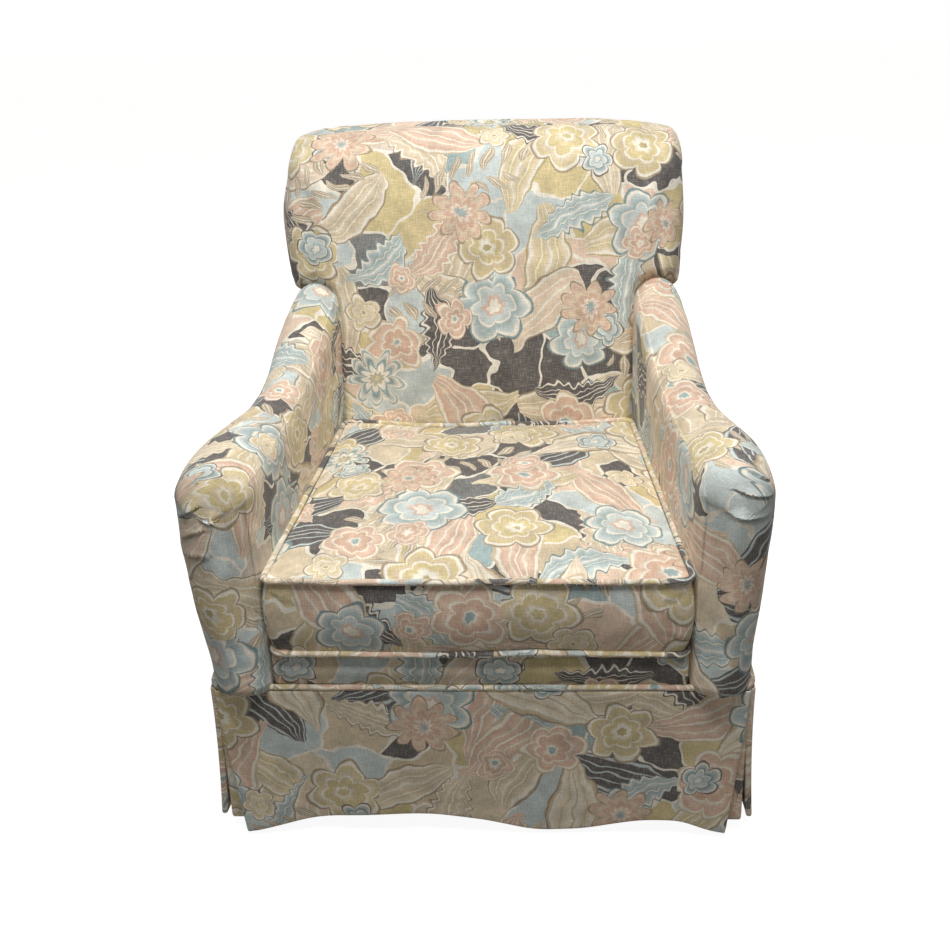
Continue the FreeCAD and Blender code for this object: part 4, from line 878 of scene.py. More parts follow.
def back_patches():
    """The inside back's cover as grids that share edges: lower front, upper middle, wings and undersides."""
    height, half, set_back, lift = back_levels()
    count = len(height)
    u = np.linspace(-BACK_LOWER_HALF, BACK_LOWER_HALF, 41)
    ring_spots, crest_half = 30, 0.35
    # Upper middle: up the front, over the roll and along the top to its rear edge
    w = height[:, None] + TOP_CREST * lift[:, None] * (1 - (u / crest_half) ** 2)
    n = set_back[:, None] - back_crown(u, half[:, None]) * (1 - lift[:, None])
    lid_from = n[-1]
    lid_share = np.linspace(0, 1, ring_spots)[1:, None]
    lid_n = blend(lid_from[None], BACK_REAR, lid_share)
    lid_w = w[-1][None] - rear_drop(lid_n)
    upper_n, upper_w = np.concatenate([n, lid_n]), np.concatenate([w, lid_w])
    upper = back_point(u, upper_n, upper_w)
    climb = stacked(*(path_length(upper[:, i]) for i in range(len(u))))
    climb_at = climb[:, -1]
    # Lower front, between the arms
    low_w = np.linspace(0.0, BACK_OVERHANG, 30)[:, None]
    crown_grows = ease(low_w / 0.30)
    lower = back_point(u, -back_crown(u, half[0]) * crown_grows, low_w)
    patches = [(lower, stacked(u, low_w - BACK_OVERHANG)), (upper, stacked(u, climb))]
    # One wing: rings of front, corner, side and rear corner, from the ear's round underside up over the roll
    front_steps = np.linspace(0, 1, 6)[:-1]
    corner_steps = np.linspace(0, math.pi / 2, 11)
    side_steps = np.linspace(0, 1, 10)[1:-1]
    rear_steps = np.linspace(0, math.pi / 2, ring_spots - 5 - 11 - 8)

    def ring(level):
        wide, back = half[level], set_back[level]
        reach = wide - BACK_CORNER
        edge_n = back - back_crown(BACK_LOWER_HALF, wide) * (1 - lift[level])
        front_u = blend(BACK_LOWER_HALF, reach, front_steps)
        front_n = back - back_crown(front_u, wide) * (1 - lift[level])
        front_n[0] = edge_n
        corner_u = reach + BACK_CORNER * np.sin(corner_steps)
        corner_n = back + BACK_CORNER * (1 - np.cos(corner_steps))
        side_n = blend(back + BACK_CORNER, BACK_REAR - BACK_REAR_EDGE, side_steps)
        rear_u = wide - BACK_REAR_EDGE * (1 - np.cos(rear_steps))
        rear_n = BACK_REAR - BACK_REAR_EDGE * (1 - np.sin(rear_steps))
        ring_u = np.concatenate([front_u, corner_u, np.full(len(side_steps), wide), rear_u])
        ring_n = np.concatenate([front_n, corner_n, side_n, rear_n])
        return ring_u, ring_n

    wing, wing_cloth = [], []
    first_u, first_n = ring(0)
    spread = path_length(stacked(first_u, first_n))
    round_off = 0.026 * ease((spread - 0.03) / 0.08)
    middle_u, middle_n = 0.285, 0.10
    far = np.maximum(np.hypot(first_u - middle_u, first_n - middle_n), 1e-6)
    for turn in np.linspace(0, math.pi / 2, 7)[:-1]:
        inset = round_off * (1 - math.sin(turn))
        ear_u = first_u - inset * (first_u - middle_u) / far
        ear_n = first_n - inset * (first_n - middle_n) / far
        ear_w = BACK_OVERHANG + round_off * (1 - math.cos(turn)) - round_off * 0.85
        wing.append(back_point(ear_u, ear_n, ear_w))
        wing_cloth.append(stacked(BACK_LOWER_HALF + spread, 0.7 * (ear_w - BACK_OVERHANG) - 0.4 * inset))
    for level in range(count):
        ring_u, ring_n = ring(level)
        rise = height[level] + TOP_CREST * lift[level] * (1 - (BACK_LOWER_HALF / crest_half) ** 2)
        ring_w = rise - rear_drop(ring_n) * lift[level]
        if level < 4:
            ring_w = ring_w + round_off * 0.15 * (1 - level / 4)
        wing.append(back_point(ring_u, ring_n, ring_w))
        spread = path_length(stacked(ring_u, ring_n))
        wing_cloth.append(stacked(BACK_LOWER_HALF + spread, climb_at[level]))
    top_u, top_n = ring(count - 1)
    top_cloth, end = wing_cloth[-1], stacked(BACK_LOWER_HALF, climb_at[count - 1:])
    target_n = np.concatenate([[lid_from[-1]], lid_n[:, -1]])
    for share in np.linspace(0, 1, 9)[1:]:
        close_n = blend(top_n, target_n, share)
        wing.append(back_point(blend(top_u, BACK_LOWER_HALF, share), close_n, w[-1, -1] - rear_drop(close_n)))
        wing_cloth.append(blend(top_cloth, end, share))
    wing, wing_cloth = np.array(wing), np.array(wing_cloth)
    # The ear's underside, and the front that runs on below it into the arm
    inner = 5
    line_n = blend(first_n[inner], BACK_REAR, np.linspace(0, 1, ring_spots - inner))
    line = back_point(first_u[inner], line_n, BACK_OVERHANG)
    under = np.array([blend(wing[0][inner:], line, share) for share in np.linspace(0, 1, 6)])
    under_cloth = stacked(under[..., 0] + 1.7, under[..., 1])
    cheek_u = first_u[:inner + 1]
    cheek = back_point(cheek_u, -back_crown(cheek_u, half[0]) * crown_grows, low_w)
    sides = [(wing, wing_cloth), (under, under_cloth), (cheek, stacked(cheek_u, low_w - BACK_OVERHANG))]
    other = [(points, cloth * np.array([-1.0, 1.0])) for points, cloth in mirrored(sides)]
    shift = np.array([4.1, 0.9])
    return [(settled(points), cloth + shift) for points, cloth in patches + sides + other]


def settled(points):
    """The top's corners have sunk, one more than the other, as in a used chair, and one ear is fuller."""
    low = ease((-points[..., 0] - 0.16) / 0.20) * ease((points[..., 2] - 0.80) / 0.12)
    fuller = ease((-points[..., 0] - 0.24) / 0.09) * ease((points[..., 2] - 0.66) / 0.06)
    sunk = points.copy()
    other = ease((points[..., 0] - 0.18) / 0.15) * ease((points[..., 2] - 0.80) / 0.12)
    sunk[..., 2] -= 0.010 * low + 0.007 * other
    sunk[..., 0] += 0.010 * low * ease((-points[..., 0] - 0.25) / 0.10) - 0.008 * fuller
    return sunk


class CHAIR_OT_inside_back(bpy.types.Operator):
    """Upholster the inside back: one padded T with soft ears over the arms and a rolled top"""
    bl_idname = "chair.inside_back"
    bl_label = "Inside back"

    def execute(self, context):
        sizes = context.scene.glider_cloth
        back = sew("cover_inside_back", back_patches())
        _, y, z = places_of(back).T
        n, w = in_back(y, z)
        held = (n > BACK_REAR - 0.008) | (w < 0.02) | ((n > 0.03) & (w < BACK_OVERHANG - 0.005))
        free = np.clip(w / 0.30, 0.0, 1.0)
        puff(back, held, 0.0005 + free * np.where(n < 0.10, 0.007, 0.004), sizes.fill)
        subdivide(back)
        _, y, z = places_of(back).T
        _, w = in_back(y, z)
        ripple(back, 1.3 * sizes.ripple, 0.14, 3, np.clip(w / 0.2, 0.0, 1.0))
        # Where the padding meets the arms it is pulled back into the crevice
        x, y, z = places_of(back).T
        n, _ = in_back(y, z)
        inner, crest = arm_inner(y), arm_crest(y)
        radius = (arm_outer(y) - inner) / 2
        beside = abs(x) - inner
        within = np.where(z < crest - radius, beside, radius - np.hypot(beside - radius, z - crest + radius))
        tuck = 0.018 * ease((within + 0.014) / 0.016) * (1 - ease((n - 0.02) / 0.04))
        move_to(back, stacked(x, y + tuck * RAKE_COS, z - tuck * RAKE_SIN))
        tidy(back, close=True)
        dress(back, "chair", "printed_linen", cover_cloth(), "inside_back")
        return {"FINISHED"}


class CHAIR_OT_outside_back(bpy.types.Operator):
    """Upholster the outside back: one tight panel from the skirt to the top, slightly padded"""
    bl_idname = "chair.outside_back"
    bl_label = "Outside back"

    def execute(self, context):
        sizes = context.scene.glider_cloth
        corner, top = 0.026, 0.625
        bend = top - corner
        turns = np.linspace(0, math.pi / 2, 9)[1:]
        w = np.concatenate([np.linspace(0.0005, bend, 60), bend + corner * np.sin(turns)])
        half = np.interp(w, [0.0, 0.375, 0.40, 0.50, 0.60], [0.385, 0.325, 0.326, 0.343, 0.339])
        half = half - corner + np.sqrt(np.maximum(corner ** 2 - np.clip(w - bend, 0.0, corner) ** 2, 0.0))
        across = np.sin(np.linspace(-1, 1, 49) * math.pi / 2)
        u = half[:, None] * across[None]
        rim = np.minimum(half[:, None] - abs(u), np.minimum(w, top - w)[:, None])
        n = BACK_REAR + 0.001 + 0.006 * (1 - np.exp(-rim / 0.006)) + 0.005 * (1 - np.exp(-rim / 0.09))
        grid = back_point(u, n, w[:, None])
        panel = sew("cover_outside_back", [(grid, stacked(u + 6.3, w[:, None]))])
        subdivide(panel)
        ripple(panel, 0.7 * sizes.ripple, 0.16, 9)
        tidy(panel, close=True)
        behind_welt(panel)
        dress(panel, "chair", "printed_linen", cover_cloth(), "outside_back")
        return {"FINISHED"}


# Seat
def cushion_rear(z):
    """Where the back's front plane meets a height, less the room that the cushion leaves."""
    return back_rear(z) - BACK_DEPTH / RAKE_COS - 0.01675


def top_seam(y):
    """The height of the cushion's top seam, which slopes down to the rear."""
    return SEAM_HIGH - SEAM_SLOPE * (y - CUSHION_FRONT) / CUSHION_DEPTH


def cushion_ring(z):
    """The cushion's outline at a height as its four sides, each split in the middle of its round corners."""
    front, rear, corner = CUSHION_FRONT, cushion_rear(z), 0.015
    front_half, rear_half = 0.29575, 0.253
    turns = np.linspace(0, math.pi / 4, 5)
    straight = np.linspace(0, 1, 41)

    front_x, front_y = front_half - corner, front + corner
    rear_x, rear_y = rear_half - corner, rear - corner
    short, long = corner * np.sin(turns), corner * np.cos(turns)
    flip = np.array([-1.0, 1.0, 1.0])

    def line(first, middle, last):
        return np.concatenate([stacked(*part, z) for part in (first, middle, last)])

    edge = blend(-front_x, front_x, straight)[1:-1]
    front_side = line(((-front_x - short)[::-1], (front_y - long)[::-1]), (edge, front),
                      (front_x + short, front_y - long))
    edge = blend(-rear_x, rear_x, straight)[1:-1]
    hollow = 0.012 * (1 - (edge / rear_x) ** 2) ** 2
    rear_side = line(((-rear_x - short)[::-1], (rear_y + long)[::-1]), (edge, rear - hollow),
                     (rear_x + short, rear_y + long))
    edge = (blend(front_half, rear_half, straight)[1:-1], blend(front_y, rear_y, straight)[1:-1])
    right = line((front_x + long[::-1], front_y - short[::-1]), edge, (rear_x + long, rear_y + short))
    return front_side, rear_side, right * flip, right


def away_from_middle(points):
    """The level direction out of the cushion at each point of its outline."""
    out = (points - np.array([0.0, -0.10, 0.0])) * np.array([1.0, 1.0, 0.0])
    return out / np.linalg.norm(out, axis=1)[:, None]


def ring_line(front, rear, left, right):
    """The four sides as one closed line, once round."""
    return np.concatenate([front[:-1], right[:-1], rear[::-1][:-1], left[::-1][:-1]])


def filled(front, rear, left, right):
    """A grid that fills four sides."""
    across = np.linspace(0, 1, front.shape[0])[None, :, None]
    deep = np.linspace(0, 1, left.shape[0])[:, None, None]
    sides = blend(left[:, None], right[:, None], across)
    ends = blend(front[None], rear[None], deep)
    corners = blend(blend(front[0], front[-1], across), blend(rear[0], rear[-1], across), deep)
    return sides + ends - corners


class CHAIR_OT_cushion(bpy.types.Operator):
    """Make the loose seat cushion: crowned panels, a boxing that swells, and welts along both seams"""
    bl_idname = "chair.cushion"
    bl_label = "Seat cushion"

    def execute(self, context):
        sizes = context.scene.glider_cloth
        high, low = cushion_ring(SEAM_HIGH), cushion_ring(SEAM_LOW)
        for side in high:
            side[:, 2] = top_seam(side[:, 1])
        # The seams wander by a few millimetres, as hand-sewn welts do, and are pulled in under them
        for side in high + low:
            side[:, 2] += [
                0.0055 * noise.noise(Vector(p) / 0.16) + 0.0015 * noise.noise(Vector(p) / 0.05) for p in side]
            side -= 0.003 * away_from_middle(side)
        top, base = filled(*high), filled(*low)
        rows, columns = top.shape[:2]
        across = np.linspace(-1, 1, columns)[None]
        deep = np.linspace(-1, 1, rows)[:, None]
        crown = (1 - abs(across) ** 3.2) * (1 - abs(deep) ** 3.2)
        top[..., 2] += blend(0.021, 0.010, (deep + 1) / 2) * crown
        base[..., 2] -= 0.004 * crown
        high_line, low_line = ring_line(*high), ring_line(*low)
        length = path_length(np.concatenate([high_line, high_line[:1]]))
        outward = away_from_middle(high_line)
        at_front = ease((-0.28 - high_line[:, 1]) / 0.06)
        swell = blend(0.003, 0.010, at_front)
        boxing = []
        for share in np.linspace(0, 1, 13):
            level = blend(high_line, low_line, share)
            level = level + outward * (swell * 4 * share * (1 - share))[:, None]
            level = level + outward * 0.003 * (1 - math.exp(-min(share, 1 - share) / 0.06))
            boxing.append(np.concatenate([level, level[:1]]))
        boxing = np.array(boxing)
        shift = np.array([7.7, 2.6])
        flat_boxing = stacked(length, boxing[..., 2] + 0.9)
        cover = sew("cover_cushion", [
            (top, top[..., :2] + shift), (base, base[..., :2] + shift + 1.4), (boxing, flat_boxing + shift)])
        _, y, z = places_of(cover).T
        above, below = z > top_seam(y), z < SEAM_LOW
        near = np.concatenate([high_line, low_line])
        seam = np.array([((near - p) ** 2).sum(1).min() < 1e-8 for p in places_of(cover)])
        most = np.where(y < -0.33, 0.007, 0.0015)
        most = np.where(above, 0.008, np.where(below, 0.0005, most))
        puff(cover, seam, most, sizes.fill)
        subdivide(cover)
        _, y, z = places_of(cover).T
        calm = np.where(z > top_seam(y) + 0.004, 1.0, np.where(y < -0.33, 0.8, 0.0))
        ripple(cover, 1.3 * sizes.ripple, 0.10, 4, calm)
        for line in (
            ((-0.292, -0.352, 0.462), (-0.262, -0.358, 0.440)),
            ((-0.294, -0.348, 0.372), (-0.258, -0.358, 0.388)),
            ((0.292, -0.352, 0.460), (0.255, -0.358, 0.436)),
            ((0.293, -0.349, 0.374), (0.262, -0.358, 0.392)),
        ):
            fold(cover, line, 0.0022, 0.009, (0.0, 0.0, 1.0))
        tidy(cover)
        dress(cover, "cushion", "printed_linen", cover_cloth(), "cushion_cover")
        # The foam inside follows the cover, 7 mm below it for the wadding
        foam = bpy.data.objects.new("cushion_foam", cover.data.copy())
        context.scene.collection.objects.link(foam)
        move_to(foam, places_of(foam) - 0.007 * normals_of(foam))
        dress(foam, "cushion", "seat_foam", foam_finish(), "cushion_core")
        for name, line, seed in (("cushion_welt_top", high_line, 11), ("cushion_welt_base", low_line, 12)):
            waves = wander(line, 0.045, seed)
            free = np.where(line[:, 1] < -0.30, 1.0, 0.35)[:, None]
            line = line + outward * 0.0053 + waves * 0.0012 * free
            welt = cord_tube(name, line, sizes.welt, (9.1 + seed, 3.2))
            subdivide(welt)
            dress(welt, "cushion", "printed_linen", cover_cloth(), "cushion_welts")
        return {"FINISHED"}


class CHAIR_OT_seat_front(bpy.types.Operator):
    """Cover the seat below the cushion: the padded border at the front and the plain deck behind it"""
    bl_idname = "chair.seat_front"
    bl_label = "Border and deck"

    def execute(self, context):
        low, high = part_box("front_border")
        turns = np.linspace(0, math.pi / 2, 7)
        soft = 0.011
        section = [(high.y, low.z)]
        section += [(low.y + soft * (1 - math.sin(t)), low.z + soft * (1 - math.cos(t))) for t in turns]
        section += [(low.y - 0.004 * math.sin(s * math.pi), blend(low.z + soft, high.z - soft, s))
                    for s in np.linspace(0, 1, 8)[1:-1]]
        section += [(low.y + soft * (1 - math.cos(t)), high.z - soft * (1 - math.sin(t))) for t in turns]
        section += [(blend(low.y + soft, high.y, s), high.z) for s in np.linspace(0, 1, 6)[1:]]
        section = np.array(section)
        x = np.linspace(low.x, high.x, 49)
        grid = stacked(x, section[:, :1], section[:, 1:])
        cloth = stacked(x + 11.2, path_length(section)[:, None] + 1.0)
        border = sew("cover_front_border", [(grid, cloth)])
        subdivide(border)
        ripple(border, 0.001, 0.08, 6)
        tidy(border, close=True)
        behind_welt(border)
        dress(border, "chair", "printed_linen", cover_cloth(), "front_border")

        low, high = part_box("seat_deck")
        y = np.linspace(low.y, high.y, 44)[:, None]
        share = np.linspace(-1, 1, 45)[None]
        x = (arm_inner(y) - 0.003) * share
        rim = np.minimum((1 - abs(share)) * 0.28, np.minimum(y - low.y, high.y - y))
        z = high.z - 0.0075 * np.exp(-rim / 0.006) - 0.003 * ease(rim / 0.2)
        grid = stacked(x, y, z)
        deck = sew("cover_seat_deck", [(grid, grid[..., :2] + 3.0)])
        subdivide(deck)
        ripple(deck, 0.0012, 0.12, 7)
        apply_modifier(deck, "SOLIDIFY", thickness=0.004, offset=-1.0)
        # Decking: plain beige cotton twill, close woven, about 1 mm a thread. Its darker tone is painted
        # shade where threads cross under and the yarn's own uneven tone
        twill = woven_cloth("cotton decking", "#CBBDA4", "#A8987D", 0.0020, 0.9, 0.0004)
        dress(deck, "chair", "deck_cloth", twill, "seat_deck")
        return {"FINISHED"}


# Skirt
def skirt_panel(name, half, plane, side, hem, spread, corner_flare, shift, seed):
    """One skirt panel: cloth that hangs from the welt, its ends turned back behind the corner pleats."""
    back, deep = 0.060, 0.0066
    turns = np.linspace(-math.pi / 2, math.pi / 2, 9)
    out = deep / 2
    ahead = np.linspace(-half, half, 97)
    path = [(-half + back * (1 - s), -deep) for s in np.linspace(0, 1, 8)]
    path += [(-half - out * math.cos(t), -out + out * math.sin(t)) for t in turns[1:-1]]
    path += [(a, 0.0) for a in ahead]
    path += [(half + out * math.cos(t), -out + out * math.sin(t)) for t in turns[::-1][1:-1]]
    path += [(half - back * s, -deep) for s in np.linspace(0, 1, 8)]
    path = np.array(path)
    length = path_length(path)
    spots = np.linspace(-(half + 0.005), half + 0.005, len(hem))
    line = np.interp(path[:, 0], spots, hem)
    for _ in range(6):
        line[1:-1] = (line[:-2] + 2 * line[1:-1] + line[2:]) / 4
    floor = 0.006 + 0.034 * line
    share = np.linspace(0, 1, 30)[:, None]
    z = blend(SKIRT_TOP, floor, share)
    ends = ease((abs(path[:, 0]) - half + 0.14) / 0.15)
    lean = np.array([noise.noise(Vector((p / 0.11, seed * 2.7, 0.0))) for p in path[:, 0]])
    outward = path[:, 1] + share ** 1.7 * (0.004 + corner_flare * ends + 0.006 * lean)
    sideways = path[:, 0] + spread * share ** 1.3 * np.sign(path[:, 0]) * ends
    if side[0]:
        grid = stacked(side[0] * (plane + outward), side[0] * sideways, z)
    else:
        grid = stacked(-side[1] * sideways, side[1] * (plane + outward), z)
    panel = sew(name, [(grid, stacked(length, z) + np.array(shift))])
    apply_modifier(panel, "SOLIDIFY", thickness=0.003, offset=0.0)
    subdivide(panel)
    return panel, float(length[-1])


class CHAIR_OT_skirt(bpy.types.Operator):
    """Hang the skirt: four panels with waving hems, the kick pleats at the corners and the welt above them"""
    bl_idname = "chair.skirt"
    bl_label = "Skirt"

    hems = {
        "front": (0, .45, .80, .98, .98, .70, .10, .15, .72, .70, 0),
        "back": (0, .25, .35, .20, .30, .35, .20, 0),
        "left": (.75, .45, .35, .15, .30, .1),
        "right": (.75, .45, .35, .15, .30, .1),
    }

    def execute(self, context):
        cloth = cover_cloth()
        for name, half, plane, side, spread, flare, shift, seed in (
            ("front", 0.388, 0.3465, (0, -1), -0.020, 0.004, (13.0, 0.3), 1),
            ("back", 0.388, 0.3465, (0, 1), -0.008, 0.004, (14.3, 1.1), 2),
            ("left", 0.336, 0.3985, (1, 0), 0.004, 0.011, (15.6, 1.9), 3),
            ("right", 0.336, 0.3985, (-1, 0), 0.004, 0.011, (16.9, 2.7), 4),
        ):
            hem = self.hems[name]
            if side[1] == 1 or side[0] == -1:
                hem = hem[::-1]
            panel, width = skirt_panel(
                "cover_skirt_" + name, half, plane, side, hem, spread, flare, shift, seed)
            dress(panel, "chair", "printed_linen", cloth, "skirt_" + name)
        # A kick pleat: two legs of 75 mm round a corner of 4 mm, a little wider at its foot
        leg, turns = np.linspace(0, 0.075, 14), np.linspace(0, math.pi / 2, 9)
        corner, corner_x, corner_y, top, foot = 0.004, 0.3889, 0.3369, 0.250, 0.026
        x = np.concatenate([corner_x - leg[::-1], corner_x + corner * np.sin(turns), np.full(14, 0.3929)])
        y = np.concatenate([np.full(14, 0.3409), corner_y + corner * np.cos(turns), corner_y - leg])
        z = np.linspace(top, foot, 16)[:, None]
        flare = 0.004 * ((top - z) / 0.224) ** 2
        length = path_length(stacked(x, y))
        for number, (sx, sy) in enumerate(((1, -1), (-1, -1), (1, 1), (-1, 1))):
            grid = stacked(sx * (x + flare), sy * (y + flare), z)
            pleat = sew("cover_kick_pleat_%d" % (number + 1), [(grid, stacked(length + 18.0 + number, z))])
            apply_modifier(pleat, "SOLIDIFY", thickness=0.002, offset=0.0)
            subdivide(pleat)
            dress(pleat, "chair", "printed_linen", cloth, "kick_pleats")
        low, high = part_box("skirt_welt")
        radius = (high.z - low.z) / 2
        x, y, corner = high.x - radius, high.y - radius, 0.018
        line = []
        for (sx, sy), start in (((1, 1), 0.0), ((-1, 1), 0.5), ((-1, -1), 1.0), ((1, -1), 1.5)):
            angles = turns + start * math.pi
            line.append(stacked(sx * (x - corner) + corner * np.cos(angles),
                                sy * (y - corner) + corner * np.sin(angles), (low.z + high.z) / 2))
        full = np.concatenate(line + [line[0][:1]])
        length = path_length(full)
        steps = np.linspace(0, length[-1], 261)[:-1]
        line = stacked(*(np.interp(steps, length, full[:, i]) for i in range(3)))
        waves = wander(line, 0.06)
        welt = cord_tube("cover_skirt_welt", line + waves * 0.0010, 0.0050, (23.0, 0.5))
        subdivide(welt)
        dress(welt, "chair", "printed_linen", cloth, "skirt_welt")
        return {"FINISHED"}


class CHAIR_OT_linings(bpy.types.Operator):
    """Lay the linings: the black dust cover under the seat and the burlap inside the back"""
    bl_idname = "chair.linings"
    bl_label = "Linings"

    def execute(self, context):
        low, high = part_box("dust_cover")
        # Two slots let the glide's carriers through
        slot_in, slot_out, slot_half = 0.131, 0.177, 0.142
        x = np.concatenate([np.linspace(low.x, high.x, 49), [-slot_out, -slot_in, slot_in, slot_out]])
        y = np.concatenate([np.linspace(low.y, high.y, 43), [-slot_half, slot_half]])
        x, y = np.unique(x), np.unique(y)[:, None]
        rim = np.minimum(np.minimum(x - low.x, high.x - x), np.minimum(y - low.y, high.y - y))
        z = (low.z + high.z) / 2 - 0.002 * ease(rim / 0.10)
        grid = stacked(x, y, z)
        cover = sew("lining_dust_cover", [(grid, grid[..., :2] + 2.0)])
        shape = bmesh.new()
        shape.from_mesh(cover.data)
        gone = []
        for face in shape.faces:
            spot = face.calc_center_median()
            if slot_in < abs(spot.x) < slot_out and abs(spot.y) < slot_half:
                gone.append(face)
        bmesh.ops.delete(shape, geom=gone, context="FACES")
        shape.to_mesh(cover.data)
        shape.free()
        apply_modifier(cover, "SOLIDIFY", thickness=0.0010, offset=0.0)
        # Black non-woven lining: bonded fibres with a fine point pattern, about 1.5 mm. Its darker tone is
        # painted shade in the pattern's dips and the fibres' own uneven tone
        black = woven_cloth("black lining", "#2B2B2D", "#17171A", 0.0030, 0.85, 0.0003)
        dress(cover, "chair", "black_lining", black, "dust_cover")

        w, u = np.linspace(0.110, 0.584, 40)[:, None], np.linspace(-0.254, 0.254, 41)[None]
        burlap = sew("lining_burlap", [(back_point(u, 0.0707, w), stacked(u, w) + 5.0)])
        apply_modifier(burlap, "SOLIDIFY", thickness=0.0012, offset=0.0)
        # Burlap: coarse brown jute, about 2 mm a thread. Its dark tone is painted shade where threads cross
        # under and the yarn's own uneven tone
        jute = woven_cloth("jute burlap", "#A88A5E", "#5C4526", 0.0042, 0.95, 0.0008)
        dress(burlap, "chair", "burlap", jute, "back_burlap")
        return {"FINISHED"}


class CHAIR_OT_hardware(bpy.types.Operator):
    """Finish the frame and the mechanism: steel, wood, nylon, rubber and foam"""
    bl_idname = "chair.hardware"
    bl_label = "Frame and mechanism"

    def execute(self, context):
        finishes = {
            # Powder coating on steel: black, baked on, with a fine orange-peel about 2 mm wide
            "powder_coated_steel": worn_finish(
                "black powder coat", "#2A2B2D", "#1B1C1E", 0.002, (0.42, 0.55), depth=0.00015),
            # Zinc-plated steel: bluish and bright, faintly clouded
            "bright_steel": worn_finish(
                "zinc plated steel", "#C9CCCE", "#A2A7AB", 0.004, (0.22, 0.38), 1.0, depth=0.00003),
            # Drawn spring wire: dark blue-grey, oiled, with marks along the wire about 1 mm wide
            "spring_steel": worn_finish(
                "oiled spring wire", "#6C6E72", "#44464A", 0.001, (0.30, 0.45), 1.0, depth=0.00005),
            # Nylon: moulded, black, half matt, with a spark-eroded grain about 1 mm wide
            "nylon": worn_finish("moulded nylon", "#333436", "#252628", 0.001, (0.45, 0.6), ior=1.53),
            # Rubber: matt black, dusty
            "rubber": worn_finish("moulded rubber", "#29292A", "#1D1D1E", 0.003, (0.75, 0.9), ior=1.52),
            # Hardwood: planed, unfinished, pale brown with grain about 3 mm wide, twelve times as long
            "hardwood": worn_finish(
                "planed hardwood", "#C9A877", "#9F7B4E", 0.003, (0.55, 0.7), stretch=(0.12, 1.0, 1.0),
                depth=0.0002),
            "seat_foam": foam_finish(),
            # Plain cotton, burlap and lining on any node that has no piece of its own
            "deck_cloth": bpy.data.materials["cotton decking"],
            "burlap": bpy.data.materials["jute burlap"],
            "black_lining": bpy.data.materials["black lining"],
            "printed_linen": cover_cloth(),
        }
        for part in frame["record"]["subparts"]:
            node = frame["nodes"][part["node"]]
            node.data.materials.clear()
            node.data.materials.append(finishes[part["material_slot"]])
        return {"FINISHED"}


def seen_plainly(tree):
    """1 for what the camera sees, straight or in a reflection, and 0 for light that falls on the chair."""
    ray = add(tree, "LightPath", out=None)
    seen = add(tree, "Math", {0: ray["Is Camera Ray"], 1: ray["Is Glossy Ray"]}, operation="MAXIMUM")
    return add(tree, "Math", {0: seen, 1: ray["Is Transmission Ray"]}, operation="MAXIMUM")


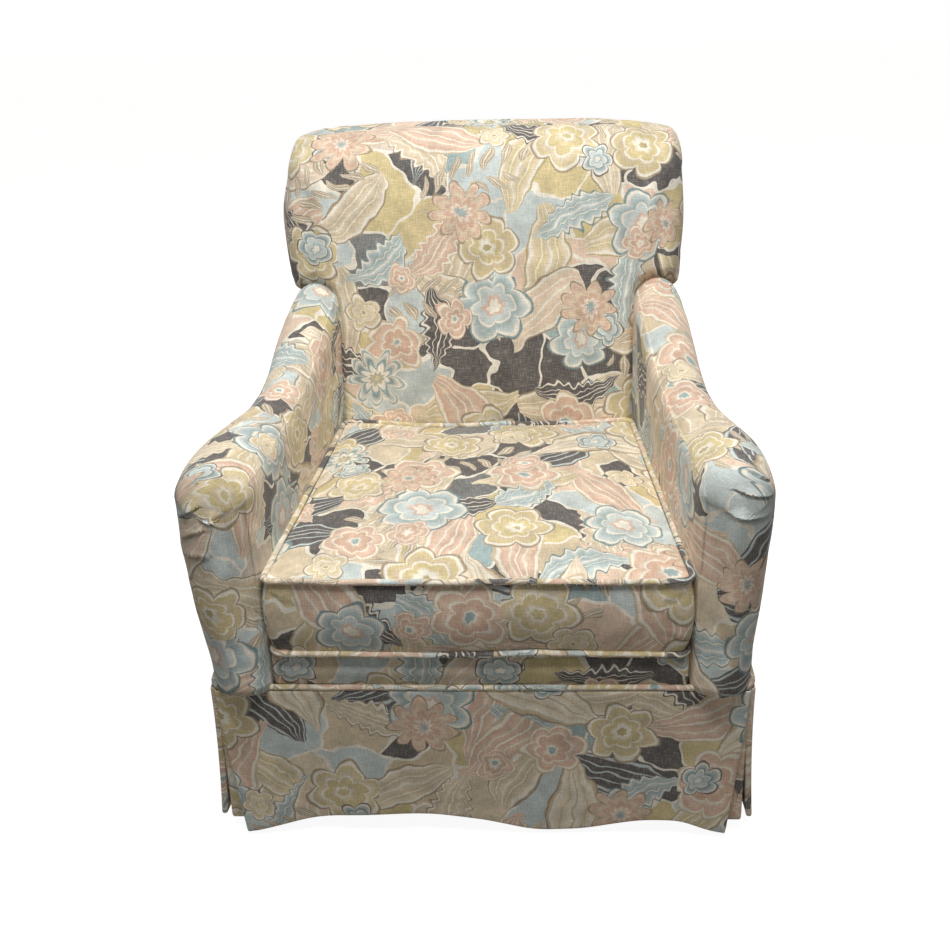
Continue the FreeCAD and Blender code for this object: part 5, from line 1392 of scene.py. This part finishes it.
class CHAIR_OT_stage(bpy.types.Operator):
    """Set up the white floor, the soft studio light and the camera"""
    bl_idname = "chair.stage"
    bl_label = "Stage"

    def execute(self, context):
        scene, choices = context.scene, context.scene.glider_stage
        scene.view_settings.view_transform = "Standard"
        bpy.ops.object.select_all(action="DESELECT")
        bpy.ops.mesh.primitive_plane_add(size=14.0)
        floor = context.object
        floor.name = "floor"
        # Backdrop paper: matt and pale. Seen by the camera and in reflections it is white, with its shadow
        paper, tree, shader = new_finish("backdrop paper", roughness=0.95, specular_ior_level=0.1)
        shader["Base Color"].default_value = choices.paper
        shader["Emission Color"].default_value = (1.0, 1.0, 1.0, 1.0)
        glow = add(tree, "Math", {0: seen_plainly(tree), 1: 0.93}, operation="MULTIPLY")
        tree.links.new(glow, shader["Emission Strength"])
        floor.data.materials.append(paper)
        world = bpy.data.worlds.new("studio")
        scene.world = world
        world.use_nodes = True
        tree = world.node_tree
        strength = add(tree, "Mix", {0: seen_plainly(tree), 2: choices.sky, 3: 1.0}, data_type="FLOAT")
        light = tree.nodes["Background"]
        light.inputs["Color"].default_value = (1.0, 1.0, 1.0, 1.0)
        tree.links.new(strength, light.inputs["Strength"])
        for name, place, aim, size, power in (
            ("key light", (0.03, -0.66, 2.55), (0.0, -0.05, 0.5), 1.0, choices.key),
            ("front light", (-0.8, -3.2, 2.2), (0.0, 0.0, 0.4), 2.2, choices.front),
            ("rear light left", (1.5, 2.2, 1.0), (0.1, 0.3, 0.4), 1.2, choices.rear),
            ("rear light right", (-1.5, 2.2, 1.0), (-0.1, 0.3, 0.4), 1.2, choices.rear),
        ):
            lamp = bpy.data.lights.new(name, "AREA")
            lamp.size = size
            lamp.energy = power
            holder = bpy.data.objects.new(name, lamp)
            holder.location = place
            holder.rotation_euler = (Vector(aim) - Vector(place)).to_track_quat("-Z", "Y").to_euler()
            holder.visible_camera = False
            scene.collection.objects.link(holder)
        pitch, yaw, roll = 0.5046, -0.0526, -0.0325
        ahead = Vector((math.sin(yaw) * math.cos(pitch), math.cos(yaw) * math.cos(pitch), -math.sin(pitch)))
        right = Vector((math.cos(yaw), -math.sin(yaw), 0.0))
        up = right.cross(ahead)
        camera_x = right * math.cos(roll) + up * math.sin(roll)
        camera_y = -right * math.sin(roll) + up * math.cos(roll)
        turn = Matrix((camera_x, camera_y, -ahead)).transposed()
        lens = bpy.data.cameras.new("camera")
        lens.lens = choices.lens
        lens.sensor_width = 36.0
        camera = bpy.data.objects.new("camera", lens)
        camera.matrix_world = Matrix.Translation((0.0748, -1.7079, 1.3922)) @ turn.to_4x4()
        scene.collection.objects.link(camera)
        scene.camera = camera
        return {"FINISHED"}


STEPS = (
    CHAIR_OT_arms, CHAIR_OT_inside_back, CHAIR_OT_outside_back, CHAIR_OT_cushion, CHAIR_OT_seat_front,
    CHAIR_OT_skirt, CHAIR_OT_linings, CHAIR_OT_hardware, CHAIR_OT_stage,
)


class CHAIR_PT_glider(bpy.types.Panel):
    """The glider's steps and the sizes and colours that they use"""
    bl_idname = "CHAIR_PT_glider"
    bl_label = "Swivel Glider"
    bl_space_type = "VIEW_3D"
    bl_region_type = "UI"
    bl_category = "Glider"

    def draw(self, context):
        for step in STEPS:
            self.layout.operator(step.bl_idname)
        for group in (context.scene.glider_print, context.scene.glider_cloth, context.scene.glider_stage):
            box = self.layout.box()
            for name in group.__annotations__:
                box.prop(group, name)


CLASSES = (PrintColours, ClothSizes, StageChoices) + STEPS + (CHAIR_PT_glider,)


def register():
    for each in CLASSES:
        bpy.utils.register_class(each)
    bpy.types.Scene.glider_print = PointerProperty(type=PrintColours)
    bpy.types.Scene.glider_cloth = PointerProperty(type=ClothSizes)
    bpy.types.Scene.glider_stage = PointerProperty(type=StageChoices)


def unregister():
    del bpy.types.Scene.glider_print
    del bpy.types.Scene.glider_cloth
    del bpy.types.Scene.glider_stage
    for each in reversed(CLASSES):
        bpy.utils.unregister_class(each)


def main():
    register()
    bpy.ops.object.select_all(action="DESELECT")
    bpy.ops.chair.arms()
    bpy.ops.chair.inside_back()
    bpy.ops.chair.outside_back()
    bpy.ops.chair.cushion()
    bpy.ops.chair.seat_front()
    bpy.ops.chair.skirt()
    bpy.ops.chair.linings()
    bpy.ops.chair.hardware()
    bpy.ops.chair.stage()


if __name__ == "__main__":
    main()
